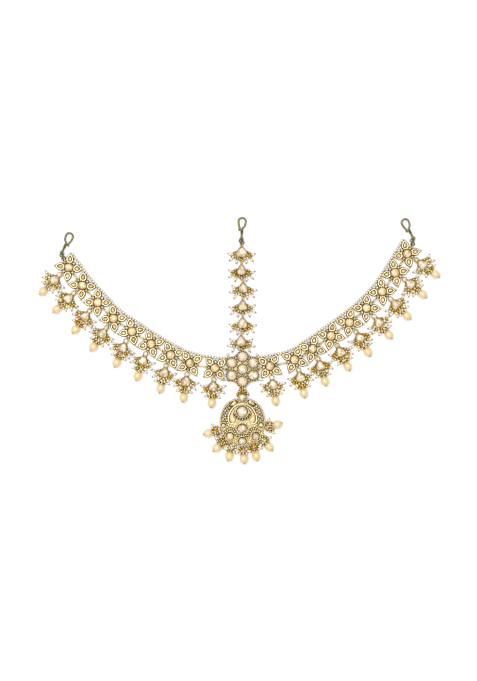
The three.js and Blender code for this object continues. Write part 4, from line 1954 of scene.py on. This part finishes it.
@dataclass(frozen=True)
class Pendant(Assembly):
    """The domed pendant: a stone under a crescent, settings along its lower rim, grains, and seven pearls."""

    half: float = 17.2
    top: float = 18.4
    bottom: float = 17.8
    notch: tuple[tuple[float, float], ...] = ((4.2, 18.4), (3.2, 17.4), (2.2, 16.4), (1.2, 15.5))
    border: float = 1.05
    crescent_y: float = 4.5
    crescent_radius: float = 8.75
    crescent_pinch: float = 1.3
    crescent_halves: tuple[float, float] = (1.45, 3.1)
    crescent_stone_halves: tuple[float, float] = (0.7, 2.3)
    crescent_reach: float = 38.0
    smile_radius: float = 6.15
    drop: PearlDrop = PearlDrop(3.3, 9.3)
    filling: Filling = Filling(
        ((0.0, 0.4), (2.0, 0.2), (3.6, -1.0), (4.3, -2.8), (3.9, -4.8), (2.6, -6.2), (0.0, -6.6))
    )
    settings: tuple[Setting, ...] = (
        Setting(-0.3, 8.6, 4.05, 5.3, 0.2),
        Setting(-0.2, -4.2, 3.65, 4.4, 0.45, lobes=8),
        Setting(-9.5, -10.2, 2.85, 4.2, 0.5, PEACH_STONE),
        Setting(0, -14.0, 2.85, 4.2, 0.5),
        Setting(10.2, -10.2, 2.85, 4.2, 0.4),
        Setting(-14.5, -2.0, 1.5, 3.4, 0.3),
        Setting(14.2, -1.7, 1.75, 3.4, 0.2),
    )
    rim: float = 1.15
    shoulders: tuple[Place, ...] = (Place(-7.0, 14.3, 217), Place(7.1, 14.9, -37))
    shoulder: Leaf = Leaf(-3.1, 3.4, 1.85, 0.5, 12)
    rope: tuple[tuple[float, float], ...] = (
        (15.4, -9.0), (12.4, -6.3), (9.6, -4.6), (7.3, -4.9), (5.6, -7.0), (4.4, -9.6), (2.4, -9.7),
        (0.0, -9.4),
    )

    CRESCENT_POINTS = 57

    def outline(self) -> Contour:
        """The plate's outline: round below, with two shoulders above and a notch between them.

        Returns:
            The outline.
        """
        half, top, bottom = self.half, self.top, self.bottom
        right = [
            bezier((0, -bottom), (half * 0.56, -bottom), (half, -bottom * 0.56), (half, 0), 24),
            bezier((half, 0), (half, half * 0.55), (half * 0.72, top - 1.5), self.notch[0], 24),
            np.array(self.notch),
        ]
        side = np.concatenate(right)
        return Contour(evenly(np.concatenate([side, side[::-1] * [-1, 1]]), 132))

    def plate(self) -> Shape:
        """The back plate with its raised border.

        Returns:
            The plate.
        """
        wall = [(0.0, 0.0, 1.0), (0.0, 1.3, 1.0), (0.12, 1.6, 0.9), (0.22, 2.2, 0.5)]
        ridge = [(0.38, 2.45, 0.05), (0.6, 2.5, 0.0), (0.8, 2.35, 0.1)]
        # the ground's middling shade is painted shade, with patina, between the grains
        ground = [(0.92, 1.7, 0.8), (1.0, 1.45, 0.9), (1.35, 1.4, 0.45)]
        return raised(self.outline(), wall + ridge + ground).toned(0.35)

    def crescent_line(self, reach: float, out: float = 0.0) -> np.ndarray:
        """Points along the crescent, from its right horn over its top to its left horn.

        Args:
            reach: How far each horn comes down past level, in degrees.
            out: How far outside its middle line they lie.

        Returns:
            The line.
        """
        turn = np.radians(np.linspace(-reach, 180 + reach, self.CRESCENT_POINTS))
        pinch = self.crescent_pinch * np.clip(-np.sin(turn), 0, 1) ** 1.1
        radius = self.crescent_radius - pinch + out
        return np.stack([radius * np.cos(turn), radius * np.sin(turn) + self.crescent_y], 1)

    def crescent_widths(self, narrow: float, full: float) -> np.ndarray:
        """Half of the crescent's width at each point: narrow over its top, bulbous at its horns.

        Args:
            narrow: Half of its width over its top.
            full: Half of its width near its horns.

        Returns:
            The half widths.
        """
        s = np.linspace(-1, 1, self.CRESCENT_POINTS)
        width = narrow + (full - narrow) * np.clip(np.abs(s) * 1.2, 0, 1) ** 4.0
        end = np.clip((1 - np.abs(s)) / 0.13, 0, 1)
        return np.maximum(width * np.sqrt(1 - (1 - end) ** 2), 0.03)

    def crescent_metal(self) -> tuple[Shape, Shape]:
        """The bright band round the crescent, and the bed its stone lies in, dark all over with painted
        shade.

        Returns:
            Both.
        """
        halves = self.crescent_widths(*self.crescent_halves)
        line = self.crescent_line(36)
        outward = -leftward(np.gradient(line, axis=0))
        edge = line + outward * np.maximum(halves - 0.42, 0.0)[:, None]
        section = [(0.0, 1.9, 1.0), (0.0, 2.6, 1.0), (0.08, 2.9, 0.3), (0.3, 3.05, 0.0), (1.0, 3.15, 0.0)]
        band = ribbon(edge, np.full(len(edge), 0.58), section).toned(0.05)
        shade_bed = [(0.0, 1.2, 1.0), (0.0, 2.0, 1.0), (0.2, 2.25, 1.0)]
        return band, ribbon(self.crescent_line(self.crescent_reach), halves, shade_bed)

    def crescent_stone(self) -> Shape:
        """The foiled crescent."""
        section = [(0.0, 2.2, 1.0), (0.0, 2.5, 0.9), (0.14, 2.8, 0.6), (0.4, 3.15, 0.25), (0.8, 3.35, 0.0)]
        halves = self.crescent_widths(*self.crescent_stone_halves)
        return ribbon(self.crescent_line(35, -0.6), halves, section).toned(0.9)

    def rope_line(self) -> np.ndarray:
        """The roped ridge that waves over the lower settings."""
        half = flowing(self.rope, 8)
        return np.concatenate([half * [-1, 1], half[-2::-1]])

    def smile(self) -> np.ndarray:
        """The line of grains that hangs under the middle stone's collar."""
        turn, radius = np.radians(np.linspace(196, 344, 30)), self.smile_radius
        return np.stack([radius * np.cos(turn), radius * np.sin(turn) + self.settings[0].y], 1)

    def field(self, outline: np.ndarray) -> Field:
        """The ground between everything that stands on the plate.

        Args:
            outline: What it lies within.

        Returns:
            The ground.
        """
        discs = [(stone.x, stone.y, stone.radius + self.rim + 0.05) for stone in self.settings]
        halves = self.crescent_widths(*self.crescent_halves)
        discs += [(x, y, half) for (x, y), half in zip(self.crescent_line(self.crescent_reach), halves)]
        discs += [(x, y, 0.95) for x, y in self.rope_line()]
        discs += [(*place.at(x, 0), 1.5) for place in self.shoulders for x in (-1.6, 0.2, 1.7)]
        discs += [(x, y, 0.7) for x, y in self.smile()]
        return Field(outline, np.array(discs))

    def beds(self) -> Shape:
        """The channels that the rope, the smile and the border stones lie in, dark all over with painted
        shade.

        Returns:
            The channels.
        """
        section = [(0.0, 1.2, 1.0), (0.0, 1.5, 1.0), (0.3, 1.52, 1.0), (1.0, 1.52, 1.0)]
        runs = [(self.rope_line(), 1.05), (self.smile(), 0.95)]
        ring = self.outline().ring(3.7)
        for side in (-1, 1):
            line = ring[(ring[:, 1] > -4.2) & (ring[:, 0] * side > 5.2)]
            runs.append((line[np.argsort(line[:, 1])], 2.7))
        return Shape.joined(ribbon(run, np.full(len(run), half), section) for run, half in runs)

    def metal(self) -> Shape:
        """The plate, the settings, the crescent's setting, ridges and grains.

        Returns:
            The metal.
        """
        leaf = raised(self.shoulder, bezel(2.6, 1.9, 0.34, foot=1.2)).toned(0.6)
        shoulders = [leaf.placed(place) for place in self.shoulders]
        collars = [stone.collar(self.rim) for stone in self.settings]
        band, shade_bed = self.crescent_metal()
        solids = [self.plate(), self.beds(), band, *collars, shade_bed, *shoulders]
        return Shape.joined([*solids, self.grains(), self.rows()])

    def pave_spots(self) -> np.ndarray:
        """The small stones along the upper border, in rows against it: X, Y and radius.

        Returns:
            A row for each.
        """
        border, inner = self.outline().ring(self.border), self.outline().ring(6.4)
        band = np.concatenate([border[border[:, 1] > -5.0], inner[inner[:, 1] > -5.0][::-1]])
        found = self.field(band).packed((1.0,), 0.0, (0.0, 1.0), random.Random(2))
        return np.column_stack([found.points[:, :2], found.radius])

    def grains(self) -> Shape:
        """The grains packed over the rest of the plate.

        Returns:
            The grains.
        """
        ground = self.field(self.outline().ring(self.border))
        ground.discs = np.concatenate([ground.discs, self.pave_spots()])
        grains = ground.packed((0.95, 0.75, 0.58, 0.44, 0.34), 1.3, (0.0, 0.15), random.Random(8), 0.14)
        return self.bench.granules(grains, Flatness=0.5, Stain=0.1)

    def rows(self) -> Shape:
        """The milled collars, the roped ridge and the line of grains under the middle stone.

        Returns:
            The rows of beads.
        """
        rims = [(self.outline().ring(0.68), 2.3)]
        for stone in self.settings[1:]:
            rims.append((stone.outline(0.8).ring(0.0) + [stone.x, stone.y], stone.top - 1.1))
        collars = [Skeleton.line([(x, y, z) for x, y in [*ring, ring[0]]], 1.0) for ring, z in rims]
        rope, smile = (
            Skeleton.line([(x, y, 2.0) for x, y in line], 1.0) for line in (self.rope_line(), self.smile())
        )
        milled = self.bench.row(Skeleton.joined(collars), Bead=0.5, Spacing=1.8, Stain=0.2, Flatness=0.8)
        roped = self.bench.row(rope, Bead=0.9, Spacing=1.72, Stain=0.3, Flatness=0.8)
        hung = self.bench.row(smile, Bead=0.74, Spacing=1.8, Stain=0.45, Flatness=0.8)
        return Shape.joined([milled.toned(0.0), roped.toned(0.0), hung.toned(0.3)])

    def pave(self) -> Shape:
        """The rows of small stones along the upper border.

        Returns:
            The stones.
        """
        chance = random.Random(4)
        dots = Skeleton.dots([(x, y, 2.0) for x, y, _ in self.pave_spots()], 0.92)
        dots = replace(dots, tone=np.array([lit(chance) for _ in dots.points]))
        return self.bench.granules(dots, CREAM_STONE, 10, Flatness=0.8, Stain=1.1)

    def stones(self, finish: Finish) -> list[Shape]:
        """The round stones of one finish."""
        return [stone.stone() for stone in self.settings if stone.finish is finish]

    def build(self) -> None:
        """Makes and dresses the pendant and its drops."""
        bench, place = self.bench, self.layout.pendant()
        bench.piece("pendant_metal", [self.metal().placed(place)], GOLD, "pendant")
        leaf = leaf_stone(self.shoulder, 0.4, 1.9, 3.0, 5).toned(0.2)
        olive, white = (leaf.placed(at) for at in self.shoulders)
        pale = Shape.joined([*self.stones(CREAM_STONE), white])
        bench.piece("pendant_stones", [pale.placed(place)], CREAM_STONE)
        blush = Shape.joined([*self.stones(PEACH_STONE), self.crescent_stone(), olive])
        bench.piece("pendant_crescent", [blush.placed(place)], PEACH_STONE)
        bench.piece("pendant_pave", [self.pave().placed(place)], CREAM_STONE)
        chance = random.Random(31)
        pearls, seeds = [], []
        grains = bench.granules(self.drop.grains())
        balls = bench.granules(self.drop.pin_balls()).aged(0.4)
        pins = bench.wire(self.drop.pins(0.0))
        loose = bench.seed_pearls(self.drop.seeds())
        for i, at in enumerate(self.layout.pendant_drops(), 1):
            packed_metal, packed_seeds = self.filling.shapes(bench, chance, [(0.0, -9.5, 2.9)])
            metal = Shape.joined([packed_metal, grains, balls, pins])
            bench.piece(f"pendant_drop_{i}_metal", [metal.placed(at)], GOLD, f"pendant_drop_{i}")
            pearls.append(self.drop.pearl_shape(lit(chance)).placed(at))
            seeds.append(Shape.joined([loose, packed_seeds]).placed(at))
        bench.piece("pendant_pearls", pearls, CREAM_PEARL)
        bench.piece("pendant_seed_pearls", seeds, WHITE_PEARL)


# ---- the fastenings


@dataclass(frozen=True)
class Fastening(Assembly):
    """The oval ring and the wire hook that end one strand."""

    word: str
    eye: Place
    ring_half: float
    ring_turn: float
    tilt: float
    handed: int
    wire: float = 0.68
    half: float = 2.75
    middle: float = 1.6
    low: float = 0.72

    def ring(self) -> Skeleton:
        """The oval ring on edge along Y, with a small round ring leaning at each end.

        Returns:
            Closed lines.
        """
        radius, link = 1.2, 0.45
        oval = Skeleton.hoop(radius, 0.36, 0.0, tone=0.1)
        x, y, _ = oval.points.T
        stretched = y + np.sign(np.round(y, 3)) * (self.ring_half - radius)
        oval = replace(oval, points=np.stack([np.zeros(len(x)), stretched, x + self.middle], 1))
        links = [
            Skeleton.hoop(1.45, 0.33, self.middle, 0.0, lean, 0.0).placed(Place(x, y * self.ring_half, 25))
            for x, y, lean in ((0.5, -link, 28), (-link, link, -30))
        ]
        return Skeleton.joined([oval, *links])

    def hook(self) -> Skeleton:
        """The hook's wire, from its eye at the origin up the shank and round the loop.

        Returns:
            Its lines.
        """
        start, half, low = 1.6, self.half, self.low
        top = start + 15.0
        shank = [(0, start - 0.3, 1.6), (0, start + 1.4, 1.2), (0, start + 3.0, 0.8), (0, start + 6.0, low)]
        loop = [
            (-half * 0.72, start + 8.3), (-half, start + 11.4), (-half * 0.78, top - 1.4), (0, top - 0.5),
            (half * 0.78, top - 1.4), (half, start + 11.4), (half * 0.84, start + 8.3), (1.7, start + 6.6),
            (2.0, start + 5.4),
        ]
        route = np.array(shank + [(x, y, low) for x, y in loop])
        line = flowing(route * [self.handed, 1, 1], 7)
        return Skeleton.line(line, self.wire, 0.5) + Skeleton.hoop(1.15, 0.4, self.middle, tone=0.2)

    def wrap(self) -> Skeleton:
        """The wire wound round the shank.

        Returns:
            Its line.
        """
        turns, count, low, high = 5, 90, 4.2, 7.2
        turn = np.linspace(0, 2 * math.pi * turns, count)
        y = np.linspace(low, high, count)
        lift = np.interp(y, [low, 4.6, high], [1.04, 1.0, 0.98])
        points = np.stack([0.74 * np.cos(turn), y, np.maximum(lift + 0.7 * np.sin(turn), 0.28)], 1)
        return Skeleton.line(points, 0.27, 0.3)

    def build(self) -> None:
        """Makes and dresses the ring and the hook, from the strand's last eye."""
        strand = Place(self.eye.x, self.eye.y, self.ring_turn)
        ring_at = strand.then(Place(0, self.ring_half))
        hook_at = Place(*strand.at(0, 2 * self.ring_half), self.tilt)
        bench, word = self.bench, self.word
        ring = bench.wire(self.ring(), BRASS, 8).placed(ring_at).aged(0.3)
        bench.piece(f"ring_{word}", [ring], BRASS, f"hook_ring_{word}")
        tip = Skeleton.dots([(2.05 * self.handed, 6.9, 0.78)], 0.78, 0.6)
        hook = [bench.wire(self.hook(), BRASS, 12), bench.wire(self.wrap(), BRASS, 8)]
        hook.append(bench.granules(tip, BRASS, 16))
        bench.piece(f"clasp_{word}", [part.placed(hook_at) for part in hook], BRASS, f"hook_{word}")


# ---- the studio


@dataclass(frozen=True)
class Light:
    """A soft square light that faces the middle of the table."""

    name: str
    at: tuple[float, float, float]
    size: float
    power: float

    def build(self) -> None:
        """Hangs the light."""
        lamp = bpy.data.lights.new(self.name, "AREA")
        lamp.shape = "SQUARE"
        lamp.size = self.size
        lamp.energy = self.power
        holder = in_scene(self.name, lamp)
        holder.location = self.at
        x, y, z = self.at
        holder.rotation_euler = (math.atan2(math.hypot(x, y), z), 0.0, math.atan2(y, x) + math.pi / 2)


@dataclass(frozen=True)
class Studio:
    """A pale table seen from straight above, under soft light."""

    ambient: float = 0.45
    reach: float = 2.5
    sheet_z: float = -0.02
    lens: float = 100.0
    sensor: float = 36.0
    frame_long: float = 517.6
    aim: tuple[float, float] = (-0.55, -0.74)
    lights: tuple[Light, ...] = (
        Light("key_softbox", (-0.3, 0.35, 1.9), 1.6, 30.0),
        Light("fill_softbox", (0.6, -0.3, 1.7), 0.5, 3.0),
    )

    def build(self, bench: Workbench) -> None:
        """Lays the table, hangs the lights and sets up the camera.

        Args:
            bench: The workbench.
        """
        scene = bpy.context.scene
        scene.view_settings.view_transform = "Standard"
        world = bpy.data.worlds.new("soft_room")
        world.use_nodes = True
        back = world.node_tree.nodes["Background"]
        back.inputs["Color"].default_value = (1.0, 0.995, 0.985, 1.0)
        back.inputs["Strength"].default_value = self.ambient
        scene.world = world
        for light in self.lights:
            light.build()
        self.table(bench)
        self.camera(scene)

    def table(self, bench: Workbench) -> None:
        """Lays the pale sheet just under the ornament.

        Args:
            bench: The workbench.
        """
        reach, z = self.reach / METRES, self.sheet_z
        corners = np.array([[-reach, -reach, z], [reach, -reach, z], [reach, reach, z], [-reach, reach, z]])
        sheet = Shape(corners, np.array([[0, 1, 2, 3]]), shade=np.zeros(4), tone=np.zeros(4))
        bench.piece("table", [sheet], TABLE)

    def camera(self, scene: bpy.types.Scene) -> None:
        """Puts a long lens straight above the ornament.

        Args:
            scene: The scene that it belongs to.
        """
        view = bpy.data.cameras.new("overhead")
        view.type = "PERSP"
        view.lens = self.lens
        view.sensor_width = self.sensor
        view.sensor_fit = "AUTO"
        view.clip_end = 10.0
        holder = in_scene("overhead", view)
        x, y = self.aim
        holder.location = (x * METRES, y * METRES, self.frame_long * METRES * self.lens / self.sensor)
        scene.camera = holder


def main() -> None:
    """Builds the studio and every piece of the ornament."""
    logging.basicConfig(level=logging.INFO, format="%(name)s: %(message)s")
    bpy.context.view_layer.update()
    bench, layout = Workbench(), Layout()
    Studio().build(bench)
    assemblies = [ForeheadBand(bench, layout, side) for side in Side]
    assemblies += [PartingChain(bench, layout), Centrepiece(bench, layout), Pendant(bench, layout)]
    for side, tilt in ((Side.LEFT, -25), (Side.RIGHT, 27)):
        eye = Place(*layout.flowers(side)[-1].at(side.value * Flower.eye_at, 0))
        inward = -side.value
        hung = {"ring_half": 3.1, "ring_turn": inward * 12, "tilt": tilt, "handed": inward}
        assemblies.append(Fastening(bench, layout, side.word, eye, **hung))
    top = layout.links()[-1].then(Place(0, 5.85))
    assemblies.append(Fastening(bench, layout, "centre", top, ring_half=2.0, ring_turn=0, tilt=-2, handed=-1))
    for assembly in assemblies:
        assembly.build()


if __name__ == "__main__":
    main()
